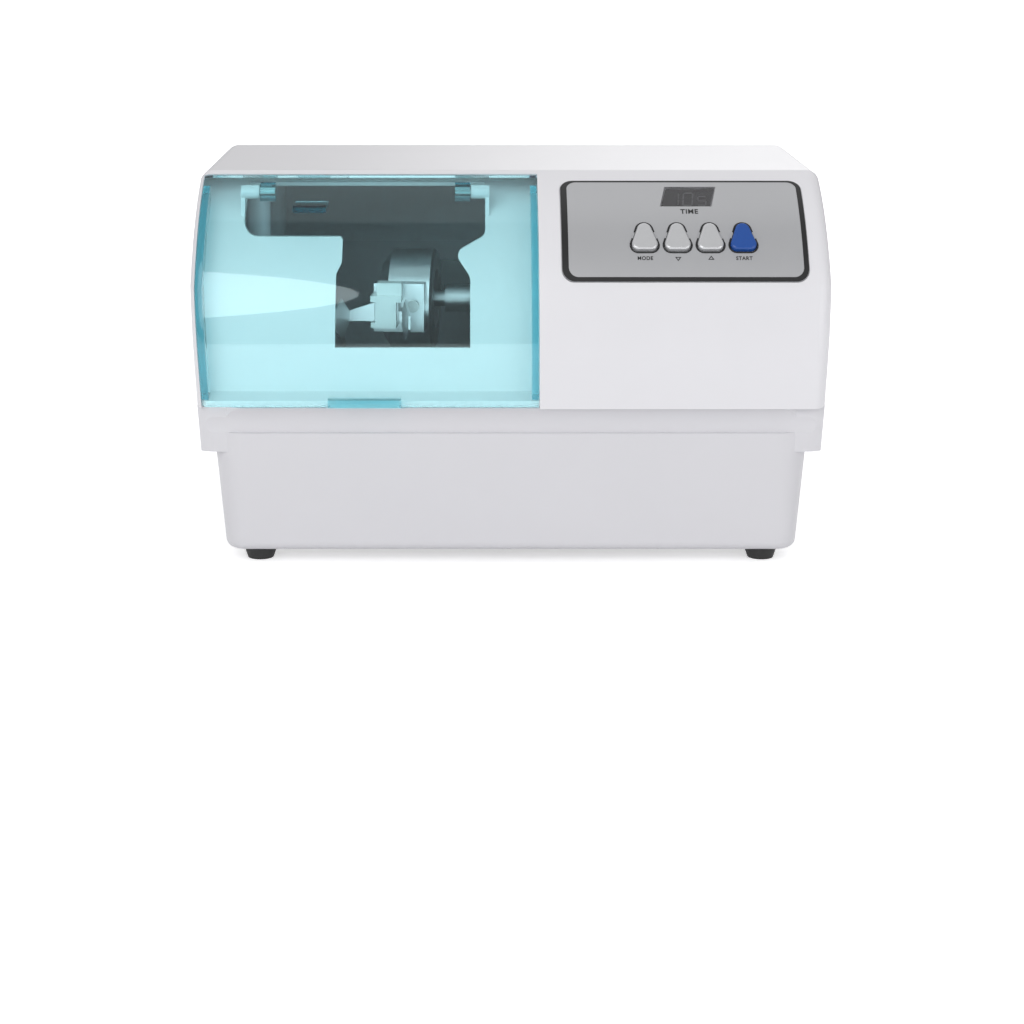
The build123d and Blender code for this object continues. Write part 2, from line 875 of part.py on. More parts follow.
def make_shaker_drum():
    half = drum_width / 2
    end = half + drum_extra
    bearing_half = bearing_width / 2
    with BuildSketch(Plane.XY) as sketch:
        with BuildLine():
            Polyline(
                (-half, 0),
                (-half, drum_radius - 6),
                (-half + 4, drum_radius),
                (end - 1, drum_radius),
                (end, drum_radius - 1),
                (end, 0),
                close=True,
            )
        make_face()
    drum = revolve(sketch.sketch, Axis.X, 360)
    pad_half = drum_radius - 10.5
    drum += block(-half - 1, half - 1, -clamp_back, -bearing_radius - 1, -pad_half, pad_half)
    lug = block(-6, 6, drum_radius - 2, drum_radius + 8, -1.3, 1.3)
    slot = SlotOverall(9, spring_eye)
    drum += lug - Pos(0, drum_radius + 4, 0) * extrude(slot, 5, both=True)
    drum -= rod_x(bearing_radius + 0.02, -half - 5, bearing_half)
    drum -= rod_x(bearing_radius - 2, 0, half + 5)
    drum -= pad_screw_rod(pad_screw_radius + running_gap, -1, 5)
    return wobble(drum)


def pad_screw_rod(radius, start, end):
    # along the screw in the drum's front pad, from its face inwards
    middle = Pos(pad_screw_x, -clamp_back + (start + end) / 2, pad_screw_z)
    return middle * Rot(90, 0, 0) * Cylinder(radius, end - start)


def make_drum_cap():
    half = drum_width / 2
    cap = rod_x(bearing_radius, -half + 0.2, -half + 1.8)
    return wobble(cap)


def make_clamp_block():
    front = -clamp_front
    back = -clamp_back
    body = block(-9.3, -1.2, front, back, -6.8, 3.4)
    body += block(-11.3, 0.8, front, back, 3.4, 5.8)
    body += block(-9.0, 0.8, front + 1.5, back, 5.8, 10.6)
    body += block(-11.3, -9.3, front + 1, back, -6.8, -4.9)
    half = strip_thickness / 2 + 0.05
    body -= block(-20, 10, strip_y - half, strip_y + half, -4.7, 2.9)
    return wobble(body)


def make_clamp_screw():
    return wobble(pad_screw_rod(2.4, -1.6, 0) + pad_screw_rod(pad_screw_radius, 0, 4.8))


def make_clip_strip():
    half = strip_thickness / 2
    return wobble(block(-9.9, -0.6, strip_y - half, strip_y + half, -4.6, 2.8))


def paddle(root_x, tip_x):
    # a diamond of sprung sheet that stands across the capsule's end
    root = Vector(root_x, strip_y - 1.4, paddle_z)
    reach = Vector(tip_x - root_x, -paddle_depth, 0)
    length = reach.length
    plane = Plane(origin=root, x_dir=reach, z_dir=reach.cross(Vector(0, 0, 1)))
    high = paddle_height / 2
    wide = 0.45 * length
    outline = [(0, -2.4), (wide, -high), (length, -2.6), (length, 2.6), (wide, high), (0, 2.4)]
    face = Polygon(*outline, align=None)
    return extrude(plane * face, strip_thickness / 2, both=True)


def make_left_arm():
    half = strip_thickness / 2
    start = -9.9 - arm_gap
    outline = [(start, -4.6), (start, 2.8), (-20.3, -0.6), (-20.3, -4.6)]
    arm = along_y(outline, strip_y - half, strip_y + half)
    bend = block(-20.7, -19.9, strip_y - 1.9, strip_y + half, -4.6, -0.6)
    return wobble(arm + bend + paddle(-20.3, -25.0))


def make_right_arm():
    half = strip_thickness / 2
    start = -0.6 + arm_gap
    arm = block(start, 1.6, strip_y - half, strip_y + half, -4.6, -0.6)
    bend = block(0.8, 1.6, strip_y - 1.9, strip_y + half, -4.6, -0.6)
    return wobble(arm + bend + paddle(1.2, 5.2))


def motor_holes():
    return [(drive_y + side * 17.0, drive_z) for side in (-1, 1)]


def make_motor():
    end = 2.0 + motor_length
    motor = rod_x(motor_radius, 2.0, end, drive_y, drive_z)
    motor = fillet(motor.edges(), 2.5)
    motor += rod_x(motor_boss_radius, -1.4, 2.0, drive_y, drive_z)
    motor += rod_x(9.0, end, end + 5, drive_y, drive_z)
    for side in (-1, 1):
        tag_y = drive_y + side * 15
        motor += block(end, end + 7, tag_y - 1.5, tag_y + 1.5, drive_z - 3, drive_z + 3)
    motor -= rod_x(shaft_radius + running_gap, -3, 22.5, drive_y, drive_z)
    for y, z in motor_holes():
        motor -= rod_x(1.6, 0, 8, y, z)
    return motor


def make_motor_bracket():
    t = bracket_thickness
    front = drive_y - motor_radius - 2
    back = drive_y + motor_radius + 2
    plate = block(2 - t, 2, front, back, motor_base_z, drive_z + motor_radius + 2)
    plate = fillet([e for e in plate.edges().filter_by(Axis.X) if e.center().Z > drive_z], 8)
    bracket = plate + block(2 - t, motor_length + 4, front, back, motor_base_z, bracket_base_z)
    for y in (front, back - t):
        outline = [(2, bracket_base_z), (30, bracket_base_z), (2, bracket_base_z + 22)]
        bracket += along_y(outline, y, y + t)
    post_y = spring_post_y()
    bracket += block(2 - t, 2, back - 8, post_y + t, drive_z - 8, drive_z + 8)
    bracket += block(wobble_x - 6, 2, post_y, post_y + t, drive_z - 8, drive_z + 8)
    wire_z = drive_z + spring_radius - spring_wire / 2
    bracket -= Pos(wobble_x, post_y, wire_z) * Rot(90, 0, 0) * Cylinder(spring_wire, 20)
    bracket -= rod_x(motor_boss_radius + 0.1, -5, 5, drive_y, drive_z)
    for y, z in motor_holes():
        bracket -= rod_x(1.7, -5, 5, y, z)
    for x, y in motor_posts():
        bracket -= rod_z(mount_screw_radius + running_gap, motor_base_z - 1, bracket_base_z + 1, x, y)
    return bracket


def make_motor_screws():
    screws = []
    for y, z in motor_holes():
        seat = 2 - bracket_thickness
        screws.append(rod_x(2.8, seat - 2, seat, y, z) + rod_x(1.55, -2, 7, y, z))
    return screws


def make_isolators():
    rings = []
    for x, y in motor_posts():
        ring = rod_z(isolator_radius, post_top_z, motor_base_z, x, y)
        rings.append(ring - rod_z(mount_screw_radius + running_gap, 0, 100, x, y))
    return rings


def make_isolator_screws():
    screws = []
    for x, y in motor_posts():
        head = rod_z(3.6, bracket_base_z, bracket_base_z + 2, x, y)
        screws.append(head + rod_z(mount_screw_radius, post_top_z - 8, bracket_base_z, x, y))
    return screws


# The retaining spring keeps the drum from turning with its journal
def spring_hook_y():
    return drive_y + drum_radius + 4


def spring_post_y():
    return spring_start_y() + spring_length + 1.5


def spring_start_y():
    # clear of the drum's lug as it swings
    return spring_hook_y() + 6


def make_retaining_spring():
    start = spring_start_y()
    end = start + spring_length
    middle = Pos(wobble_x, (start + end) / 2, drive_z) * Rot(90, 0, 0)
    inside = Cylinder(spring_radius - spring_wire, spring_length + 2)
    coil = middle * (Cylinder(spring_radius, spring_length) - inside)
    line_z = drive_z + spring_radius - spring_wire / 2
    far_y = spring_post_y() + bracket_thickness + 1.5
    hook_path = FilletPolyline(
        (wobble_x, start + 1, line_z),
        (wobble_x, spring_hook_y(), line_z),
        (wobble_x, spring_hook_y(), drive_z - 3.2),
        radius=2.0,
    )
    tail_path = FilletPolyline(
        (wobble_x, end - 1, line_z),
        (wobble_x, far_y, line_z),
        (wobble_x, far_y, drive_z - 1),
        radius=1.2,
    )
    spring = coil
    for path in (hook_path, tail_path):
        profile = Plane(origin=path @ 0, z_dir=path % 0) * Circle(spring_wire / 2 - 0.1)
        spring += sweep(profile, path)
    return spring


# Power supply
def make_transformer():
    x, y, z = transformer_x, transformer_y, transformer_z
    core = block(x - 29, x + 29, y - 12, y + 12, z + 2, z + transformer_height)
    for side in (-1, 1):
        window_x = x + side * 14.5
        core -= block(window_x - 6, window_x + 6, y - 30, y + 30, z + 10, z + transformer_height - 8)
    base = block(x - 29, x + 29, y - transformer_depth / 2 - 8, y + transformer_depth / 2 + 8, z, z + 2)
    for px, py in transformer_posts():
        base -= rod_z(mount_screw_radius + running_gap, z - 1, z + 3, px, py)
    return core + base


def make_winding():
    x, y, z = transformer_x, transformer_y, transformer_z
    bobbin = block(x - 20.2, x + 20.2, y - 20, y + 20, z + 10.3, z + transformer_height - 8.3)
    bobbin = fillet(bobbin.edges().filter_by(Axis.Z), 5)
    bobbin -= block(x - 8.8, x + 8.8, y - 12.3, y + 12.3, z, z + 60)
    return bobbin


def make_supply_board():
    z = supply_z
    board = block(
        supply_x - supply_width / 2,
        supply_x + supply_width / 2,
        supply_y - supply_depth / 2,
        supply_y + supply_depth / 2,
        z,
        z + board_thickness,
    )
    for x, y in supply_posts():
        board -= rod_z(mount_screw_radius + running_gap, z - 1, z + 3, x, y)
    return board


def make_supply_parts():
    z = supply_z + board_thickness
    relay = block(supply_x - 30, supply_x - 11, supply_y + 4, supply_y + 19, z, z + 15)
    capacitor = rod_z(8.0, z, z + 25, supply_x + 4, supply_y + 10)
    sink = block(supply_x + 20, supply_x + 23, supply_y - 20, supply_y + 14, z, z + 24)
    connector = block(supply_x - 28, supply_x - 4, supply_y - 20, supply_y - 12, z, z + 9)
    return [relay, capacitor, sink, connector]


def make_floor_screws():
    screws = []
    board_top = supply_z + board_thickness
    for places, top in ((transformer_posts(), transformer_z + 2), (supply_posts(), board_top)):
        for x, y in places:
            shank = rod_z(mount_screw_radius, floor_z + 0.5, top, x, y)
            screws.append(shank + rod_z(3.4, top, top + 2, x, y))
    return screws


# Rear fittings
def on_rear(x, shape):
    return rear_plane(x, fitting_z) * shape


def along_rear(radius, z0, z1):
    return Pos(0, 0, (z0 + z1) / 2) * Cylinder(radius, z1 - z0)


def make_fuse_holder(x):
    body = along_rear(fuse_cap_radius, 0, 1.8) + along_rear(fuse_barrel_radius, -30, 0)
    body -= along_rear(fuse_radius + 1.0, -27, 3)
    return on_rear(x, body)


def make_fuse_nut(x):
    nut = extrude(Plane.XY.offset(-wall - 3.8) * RegularPolygon(9.0, 6), 3.6)
    nut -= along_rear(fuse_barrel_radius + 0.05, -10, 1)
    return on_rear(x, nut)


def make_fuse_cap(x):
    cap = along_rear(fuse_cap_radius, 1.9, 1.9 + fuse_cap_length)
    edge = cap.edges().sort_by(Axis.Z)[-1]
    cap = fillet(edge, 1.6)
    cap += along_rear(fuse_radius + 0.9, -4.0, 1.9)
    cap -= Pos(0, 0, 1.9 + fuse_cap_length) * Box(9.0, 1.6, 3.0)
    groove = Pos(fuse_cap_radius + 0.35, 0, 1.9 + fuse_cap_length / 2) * Cylinder(0.9, fuse_cap_length - 4)
    for i in range(12):
        cap -= Rot(0, 0, 30 * i) * groove
    return on_rear(x, cap)


def make_fuse(x):
    return on_rear(x, along_rear(fuse_radius, -4.1 - fuse_length, -4.1))


def make_rocker_frame():
    flange = Box(rocker_width, rocker_height, 1.8, align=(Align.CENTER, Align.CENTER, Align.MIN))
    flange = fillet(flange.edges().filter_by(Axis.Z), 1.0)
    low = Box(rocker_width - 2.2, rocker_height - 2.2, 17, align=(Align.CENTER, Align.CENTER, Align.MAX))
    frame = flange + low - Pos(0, 0, 2) * Box(rocker_width - 5, rocker_height - 4.6, 20)
    frame -= Rot(90, 0, 0) * Cylinder(1.0 + running_gap, rocker_height - 2.6)
    for i in (-1, 0, 1):
        frame += Pos(i * 6, 0, -20) * Box(0.8, 6.3, 6.4)
    return on_rear(rocker_x, frame)


def make_rocker():
    half = (rocker_width - 5) / 2 - 0.5
    with BuildSketch(Plane.XZ) as sketch:
        with BuildLine():
            ThreePointArc((-half, 3.2), (0, 2.0), (half, 3.2))
            Polyline((half, 3.2), (half - 0.4, -2.2), (0, -4.0), (-half + 0.4, -2.2), (-half, 3.2))
        make_face()
    key = extrude(sketch.sketch, (rocker_height - 5.4) / 2, both=True)
    key += Rot(90, 0, 0) * Cylinder(1.0, rocker_height - 3)
    return on_rear(rocker_x, Rot(0, rocker_tilt, 0) * key)


def make_selector_body():
    body = Box(34.0, 10.0, 8.0, align=(Align.CENTER, Align.CENTER, Align.MAX))
    body -= Box(selector_window_width, selector_window_height, 2 * selector_depth)
    for side in (-1, 1):
        body -= Pos(side * selector_screw_offset, 0, 0) * Cylinder(selector_screw_radius + running_gap, 30)
    return on_rear(selector_x, Pos(0, 0, -wall - 0.05) * body)


def make_selector_slider():
    width = selector_window_width - selector_travel - 0.4
    low = -wall - selector_depth
    standing = (Align.CENTER, Align.CENTER, Align.MIN)
    slider = Box(width, selector_window_height - 0.4, -0.5 - low, align=standing)
    slider -= Pos(0, 0, -0.5 - low) * Box(1.2, selector_window_height - 2, 2.0)
    return on_rear(selector_x, Pos(-selector_travel / 2, 0, low) * slider)


def make_selector_screws():
    screws = []
    for side in (-1, 1):
        screw = along_rear(2.2, 0, 1.2) + along_rear(selector_screw_radius, -8, 0)
        screws.append(on_rear(selector_x, Pos(side * selector_screw_offset, 0, 0) * screw))
    return screws


def make_grommet():
    body = along_rear(grommet_radius, 0, 3.0) + along_rear(grommet_hole_radius - 0.1, -wall - 0.2, 0)
    body += along_rear(grommet_radius, -wall - 2.4, -wall - 0.15)
    start, end = 3.0, boot_length
    body += Pos(0, 0, (start + end) / 2) * Cone(5.6, cord_diameter / 2 + 0.7, end - start)
    return on_rear(grommet_x, body)


# Cord: the free stretch follows these points, then the rest lies coiled behind the machine
def cord_route():
    start = rear_plane(grommet_x, fitting_z).offset(boot_length).origin
    ahead = rear_plane(grommet_x, fitting_z).offset(boot_length + 17).origin
    rest = cord_diameter / 2
    points = [
        (start.X, start.Y, start.Z),
        (ahead.X, ahead.Y, ahead.Z),
        (grommet_x - 15, ahead.Y + 15, 7.5),
        (grommet_x - 42, ahead.Y + 24, 3.6),
        (grommet_x - 67, ahead.Y + 40, rest),
        (grommet_x - 80, ahead.Y + 68, rest),
        (grommet_x - 74, ahead.Y + 97, rest),
        (grommet_x - 52, ahead.Y + 117, rest),
        (coil_centre_x - 22, coil_start_y, rest),
        (coil_centre_x - 6, coil_start_y, rest),
    ]
    return points


def corner_radii(points):
    radii = []
    for before, here, after in zip(points, points[1:], points[2:]):
        arriving = Vector(*here) - Vector(*before)
        leaving = Vector(*after) - Vector(*here)
        turn = arriving.get_angle(leaving)
        shorter = min(arriving.length, leaving.length)
        radii.append(0.45 * shorter / tan(turn / 2))
    return radii


def make_cord_free():
    points = cord_route()
    radii = corner_radii(points)
    path = FilletPolyline(*points, radius=radii)
    profile = Plane(origin=path @ 0, z_dir=path % 0) * Circle(cord_diameter / 2)
    tube = sweep(profile, path)
    area = math.pi * cord_diameter ** 2 / 4
    print("cord radii", [round(radius, 1) for radius in radii])
    print("free length", round(path.length, 1), "volume ratio", round(tube.volume / (area * path.length), 4))
    return tube


def coil_points():
    # half turns that tighten on the table, climb one layer and widen again
    pitch = cord_diameter + coil_gap
    low = cord_diameter / 2
    high = low + pitch
    x = coil_centre_x
    y = coil_start_y
    stations = [(y, low)]
    turns = []
    radius = coil_outer_radius
    side = -1
    for _ in range(coil_half_turns):
        y += side * 2 * radius
        stations.append((y, low))
        turns.append(radius)
        side = -side
        radius -= pitch / 2
    for _ in range(coil_half_turns):
        y += side * 2 * radius
        stations.append((y, high))
        turns.append(radius)
        side = -side
        radius += pitch / 2
    return x, stations, turns


def coil_path():
    x, stations, turns = coil_points()
    first_y, first_z = stations[0]
    last_y, last_z = stations[-1]
    edges = [Line((x - cord_diameter, first_y, first_z), (x, first_y, first_z))]
    bulge = 1
    for (y0, z0), (y1, z1), radius in zip(stations, stations[1:], turns):
        size = math.hypot(y1 - y0, z1 - z0) / 2
        middle = (x + bulge * size, (y0 + y1) / 2, (z0 + z1) / 2)
        edges.append(ThreePointArc((x, y0, z0), middle, (x, y1, z1)))
        bulge = -bulge
    edges.append(Line((x, last_y, last_z), (x + coil_lead, last_y, last_z)))
    return Wire(edges)


def least_gap(path):
    # between stretches of the coil that are more than a quarter turn apart
    step = 2.0
    count = int(path.length / step)
    points = [path @ (i / count) for i in range(count + 1)]
    apart = int(coil_outer_radius * 1.5 / step)
    least = 1e9
    for i, here in enumerate(points):
        for there in points[i + apart:]:
            least = min(least, (here - there).length)
    return least - cord_diameter


def make_cord_coil():
    path = coil_path()
    profile = Plane(origin=path @ 0, z_dir=path % 0) * Circle(cord_diameter / 2)
    tube = sweep(profile, path)
    area = math.pi * cord_diameter ** 2 / 4
    print("coil length", round(path.length, 1), "least gap", round(least_gap(path), 2))
    print("coil volume ratio", round(tube.volume / (area * path.length), 4))
    return tube


def plug_start():
    x, stations, turns = coil_points()
    return x + coil_lead, stations[-1][0], stations[-1][1]


def make_plug_body():
    x, y, z = plug_start()
    boot = Pos(x + plug_boot_length / 2, y, z) * Rot(0, 90, 0)
    body = boot * Cone(cord_diameter / 2 + 0.6, 6.5, plug_boot_length)
    start = x + plug_boot_length
    wide = plug_width / 2
    high = plug_height / 2
    case = block(start, start + plug_length, y - wide, y + wide, z - high, z + high)
    case = fillet(case.edges().filter_by(Axis.X), 5.0)
    case = fillet(case.faces().sort_by(Axis.X)[0].edges(), 3.0)
    return body + case


def make_plug_pins():
    x, y, z = plug_start()
    start = x + plug_boot_length + plug_length
    pins = [rod_x(2.4, start, start + 19, y, z - 5.0)]
    for side in (-1, 1):
        blade_y = y + side * 6.35
        pins.append(block(start, start + 16, blade_y - 0.75, blade_y + 0.75, z - 1.5, z + 4.5))
    return pins


# Small hardware
def make_foot(x, y):
    foot = cone_z(foot_bottom_radius, foot_top_radius, 0, foot_height, x, y)
    foot -= rod_z(3.2, -1, 2.2, x, y)
    foot -= rod_z(foot_screw_radius + running_gap, 0, foot_height + 1, x, y)
    return foot


def make_foot_screws():
    screws = []
    for x, y in foot_places().values():
        screws.append(rod_z(3.0, 0.6, 2.2, x, y) + rod_z(foot_screw_radius, 2.2, floor_z + 1.5, x, y))
    return screws


def make_case_screws():
    screws = []
    for x, y in case_screw_places():
        seat = case_joint_z(y) - case_web
        head = rod_z(case_head_radius, seat - 2.4, seat, x, y)
        screws.append(head + rod_z(case_screw_radius - 0.05, seat, seat + case_screw_length - 1, x, y))
    return screws


def save(name, shape):
    if isinstance(shape, list):
        shape = Compound(children=shape)
    export_step(shape, "parts/" + name + ".step")


def main():
    outer = upper_volume(0, 0, edge_radius)
    save("base_tub", make_base_tub())
    save("upper_shell", make_upper_shell())
    save("flip_cover", make_flip_cover(outer))
    save("cover_hinge_pin", make_hinge_pins())
    save("bay_liner", make_bay_liner())
    save("control_label", make_control_label())
    save("display_window", make_display_window())
    save("display_module", make_display_module())
    names = ("mode_button", "time_down_button", "time_up_button", "start_button")
    for name, x in zip(names, button_xs):
        save(name, make_button(x))
    save("button_switches", make_switches())
    save("panel_board", make_panel_board())
    save("panel_board_screws", make_board_screws())
    save("spindle", make_spindle())
    save("journal_nut", make_journal_nut())
    save("bearing_inner_race", make_inner_race())
    save("bearing_outer_race", make_outer_race())
    save("bearing_balls", make_bearing_balls())
    save("shaker_drum", make_shaker_drum())
    save("drum_cap", make_drum_cap())
    save("clamp_block", make_clamp_block())
    save("clamp_screw", make_clamp_screw())
    save("clip_strip", make_clip_strip())
    save("left_clip_arm", make_left_arm())
    save("right_clip_arm", make_right_arm())
    save("retaining_spring", make_retaining_spring())
    save("motor", make_motor())
    save("motor_bracket", make_motor_bracket())
    save("motor_screws", make_motor_screws())
    save("motor_isolators", make_isolators())
    save("isolator_screws", make_isolator_screws())
    save("transformer_core", make_transformer())
    save("transformer_winding", make_winding())
    save("supply_board", make_supply_board())
    save("supply_components", make_supply_parts())
    save("floor_screws", make_floor_screws())
    save("fuse_holders", [make_fuse_holder(x) for x in fuse_xs])
    save("fuse_nuts", [make_fuse_nut(x) for x in fuse_xs])
    for side, x in zip(("right", "left"), fuse_xs):
        save(side + "_fuse_cap", make_fuse_cap(x))
        save(side + "_fuse", make_fuse(x))
    save("rocker_frame", make_rocker_frame())
    save("rocker", make_rocker())
    save("selector_body", make_selector_body())
    save("selector_slider", make_selector_slider())
    save("selector_screws", make_selector_screws())
    save("cord_grommet", make_grommet())
    save("cord_free", make_cord_free())
    save("cord_coil", make_cord_coil())
    save("plug_body", make_plug_body())
    save("plug_pins", make_plug_pins())
    for name, (x, y) in foot_places().items():
        save(name, make_foot(x, y))
    save("foot_screws", make_foot_screws())
    save("case_screws", make_case_screws())


main()
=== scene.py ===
import bpy
import bmesh
import json
import math
from mathutils import Matrix, Vector


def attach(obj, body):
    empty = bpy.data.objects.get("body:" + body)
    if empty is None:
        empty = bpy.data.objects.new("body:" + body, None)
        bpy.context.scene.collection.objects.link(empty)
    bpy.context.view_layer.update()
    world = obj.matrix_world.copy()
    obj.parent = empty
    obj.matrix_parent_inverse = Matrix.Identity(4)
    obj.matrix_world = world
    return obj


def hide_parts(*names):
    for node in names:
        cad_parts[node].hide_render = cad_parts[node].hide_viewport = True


# Benchtop capsule mixer. The CAD frame gives the shapes, this gives the looks.
# Metres. X is right and Y is back as seen from the front, Z is up.

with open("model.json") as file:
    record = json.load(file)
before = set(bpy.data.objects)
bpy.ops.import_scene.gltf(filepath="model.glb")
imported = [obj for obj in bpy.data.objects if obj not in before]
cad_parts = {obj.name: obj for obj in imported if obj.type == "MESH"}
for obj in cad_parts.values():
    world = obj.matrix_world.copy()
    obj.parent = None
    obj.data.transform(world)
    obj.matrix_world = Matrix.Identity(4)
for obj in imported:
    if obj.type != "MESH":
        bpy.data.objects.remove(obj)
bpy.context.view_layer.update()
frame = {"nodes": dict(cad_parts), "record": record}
nodes = frame["nodes"]
print("stage: frame loaded,", len(nodes), "nodes")

# Sizes shared by the pieces that follow the rolled front, as in the part's own source
case = {
    "frontY": -0.0878,      # foot of the tub's front wall
    "rollY": -0.0198,
    "rollZ": 0.07953,
    "rollRadius": 0.075,
    "panelAngle": 49.15,    # degrees from straight up to the middle of the keypad
    "labelMiddleX": 0.06735,
    "wallDraft": 6.4,
    "tubDepth": 0.172,
    "fittingZ": 0.0185,
    "footHeight": 0.005,
}


def sinDeg(angle):
    return math.sin(math.radians(angle))


def cosDeg(angle):
    return math.cos(math.radians(angle))


# The camera stands where the photograph was taken

cameraLook = {
    "lens": 82.2, "sensor": 36.0,        # millimetres
    "middleX": -0.013, "distance": 0.9, "height": 0.2517,
    "shiftX": 0.034, "shiftY": -0.588,
}



def makeCamera():
    data = bpy.data.cameras.new("photoCamera")
    data.lens = cameraLook["lens"]
    data.sensor_width = cameraLook["sensor"]
    data.shift_x = cameraLook["shiftX"]
    data.shift_y = cameraLook["shiftY"]
    camera = bpy.data.objects.new("photoCamera", data)
    bpy.context.collection.objects.link(camera)
    camera.location = (cameraLook["middleX"], case["frontY"] - cameraLook["distance"], cameraLook["height"])
    camera.rotation_euler = (math.radians(90), 0, 0)
    bpy.context.scene.camera = camera


studio = {
    "worldStrength": 0.5,
    "worldColor": (1.0, 1.0, 1.0),
    "lamps": [
        # name, place, aims at, size, watts
        ("keyLamp", (-0.8, -1.6, 0.95), (0, 0, 0.08), 1.4, 13.5),
        ("fillLamp", (1.2, -1.4, 0.65), (0, 0, 0.08), 1.2, 6.0),
        ("topLamp", (0.0, 0.3, 1.7), (0, 0, 0.05), 1.6, 2.5),
        ("backLamp", (0.4, 1.5, 0.9), (0, 0, 0.08), 1.2, 6.0),
    ],
    "floorColor": (0.86, 0.86, 0.87), "floorRoughness": 0.7, "floorHalf": 6.0,
    "floorGlow": 0.42,          # what the camera sees besides the lit floor, close to the object
    "glowGain": 1.1,            # added for each metre away from it
}


def makeStudio():
    world = bpy.data.worlds.new("paleStudio")
    bpy.context.scene.world = world
    world.use_nodes = True
    tree = world.node_tree
    tree.nodes.clear()
    out = tree.nodes.new("ShaderNodeOutputWorld")
    seen = tree.nodes.new("ShaderNodeBackground")
    lit = tree.nodes.new("ShaderNodeBackground")
    mix = tree.nodes.new("ShaderNodeMixShader")
    path = tree.nodes.new("ShaderNodeLightPath")
    lit.inputs["Color"].default_value = (*studio["worldColor"], 1)
    lit.inputs["Strength"].default_value = studio["worldStrength"]
    seen.inputs["Strength"].default_value = 1.0
    seen.inputs["Color"].default_value = (1, 1, 1, 1)
    tree.links.new(path.outputs["Is Camera Ray"], mix.inputs["Fac"])
    tree.links.new(lit.outputs[0], mix.inputs[1])
    tree.links.new(seen.outputs[0], mix.inputs[2])
    tree.links.new(mix.outputs[0], out.inputs["Surface"])
    for name, place, aim, size, watts in studio["lamps"]:
        data = bpy.data.lights.new(name, "AREA")
        data.shape = "DISK"
        data.size = size
        data.energy = watts
        lamp = bpy.data.objects.new(name, data)
        bpy.context.collection.objects.link(lamp)
        lamp.location = place
        lamp.rotation_euler = (Vector(aim) - Vector(place)).to_track_quat("-Z", "Y").to_euler()
    bpy.context.scene.view_settings.view_transform = "Standard"


makeCamera()
makeStudio()


# Node groups hold the colour, wear and grain that the materials share. Noise scales are per metre.

textures = {
    "rubScale": 420.0, "peelScale": 300.0, "dustScale": 90.0,
    "metalScale": 120.0, "metalSpread": 0.12, "glassSpread": 0.02,
}


def newGroup(name, inputs, outputs):
    tree = bpy.data.node_groups.new(name, "ShaderNodeTree")
    for label, kind, value in inputs:
        socket = tree.interface.new_socket(label, in_out="INPUT", socket_type=kind)
        socket.default_value = value
    for label, kind in outputs:
        tree.interface.new_socket(label, in_out="OUTPUT", socket_type=kind)
    return tree, tree.nodes.new("NodeGroupInput"), tree.nodes.new("NodeGroupOutput")


def mathNode(tree, operation, first, second=None, third=None):
    node = tree.nodes.new("ShaderNodeMath")
    node.operation = operation
    for i, value in enumerate((first, second, third)):
        if value is None:
            continue
        if isinstance(value, (int, float)):
            node.inputs[i].default_value = value
        else:
            tree.links.new(value, node.inputs[i])
    return node.outputs[0]


def noiseNode(tree, place, scale, detail=3.0, rough=0.55):
    node = tree.nodes.new("ShaderNodeTexNoise")
    node.inputs["Detail"].default_value = detail
    node.inputs["Roughness"].default_value = rough
    tree.links.new(place, node.inputs["Vector"])
    if isinstance(scale, (int, float)):
        node.inputs["Scale"].default_value = scale
    else:
        tree.links.new(scale, node.inputs["Scale"])
    return node.outputs["Fac"]


def makeDriftGroup():
    # slow change of tone and gloss, as a moulded or painted surface has
    tree, start, end = newGroup(
        "toneDrift",
        [("Color", "NodeSocketColor", (0.8, 0.8, 0.8, 1)), ("Drift", "NodeSocketFloat", 0.05),
         ("Scale", "NodeSocketFloat", 30.0), ("Roughness", "NodeSocketFloat", 0.5),
         ("Spread", "NodeSocketFloat", 0.08)],
        [("Color", "NodeSocketColor"), ("Roughness", "NodeSocketFloat")],
    )
    place = tree.nodes.new("ShaderNodeTexCoord").outputs["Object"]
    slow = noiseNode(tree, place, start.outputs["Scale"], 2.0)
    centred = mathNode(tree, "SUBTRACT", slow, 0.5)
    swing = mathNode(tree, "MULTIPLY", centred, start.outputs["Drift"])
    tone = mathNode(tree, "ADD", swing, 1.0)
    mix = tree.nodes.new("ShaderNodeVectorMath")
    mix.operation = "SCALE"
    tree.links.new(start.outputs["Color"], mix.inputs[0])
    tree.links.new(tone, mix.inputs["Scale"])
    tree.links.new(mix.outputs[0], end.inputs["Color"])
    fine = noiseNode(tree, place, textures["rubScale"], 4.0)
    rub = mathNode(tree, "MULTIPLY", mathNode(tree, "SUBTRACT", fine, 0.5), start.outputs["Spread"])
    tree.links.new(mathNode(tree, "ADD", rub, start.outputs["Roughness"]), end.inputs["Roughness"])
    return tree


def makeGrainGroup():
    # spark-eroded mould texture: rounded grains, plus a fainter orange peel
    tree, start, end = newGroup(
        "mouldGrain",
        [("Scale", "NodeSocketFloat", 2600.0), ("Peel", "NodeSocketFloat", 0.35)],
        [("Height", "NodeSocketFloat")],
    )
    place = tree.nodes.new("ShaderNodeTexCoord").outputs["Object"]
    grain = noiseNode(tree, place, start.outputs["Scale"], 2.0, 0.6)
    peel = noiseNode(tree, place, textures["peelScale"], 1.0)
    weighted = mathNode(tree, "MULTIPLY", peel, start.outputs["Peel"])
    tree.links.new(mathNode(tree, "ADD", grain, weighted), end.inputs["Height"])
    return tree


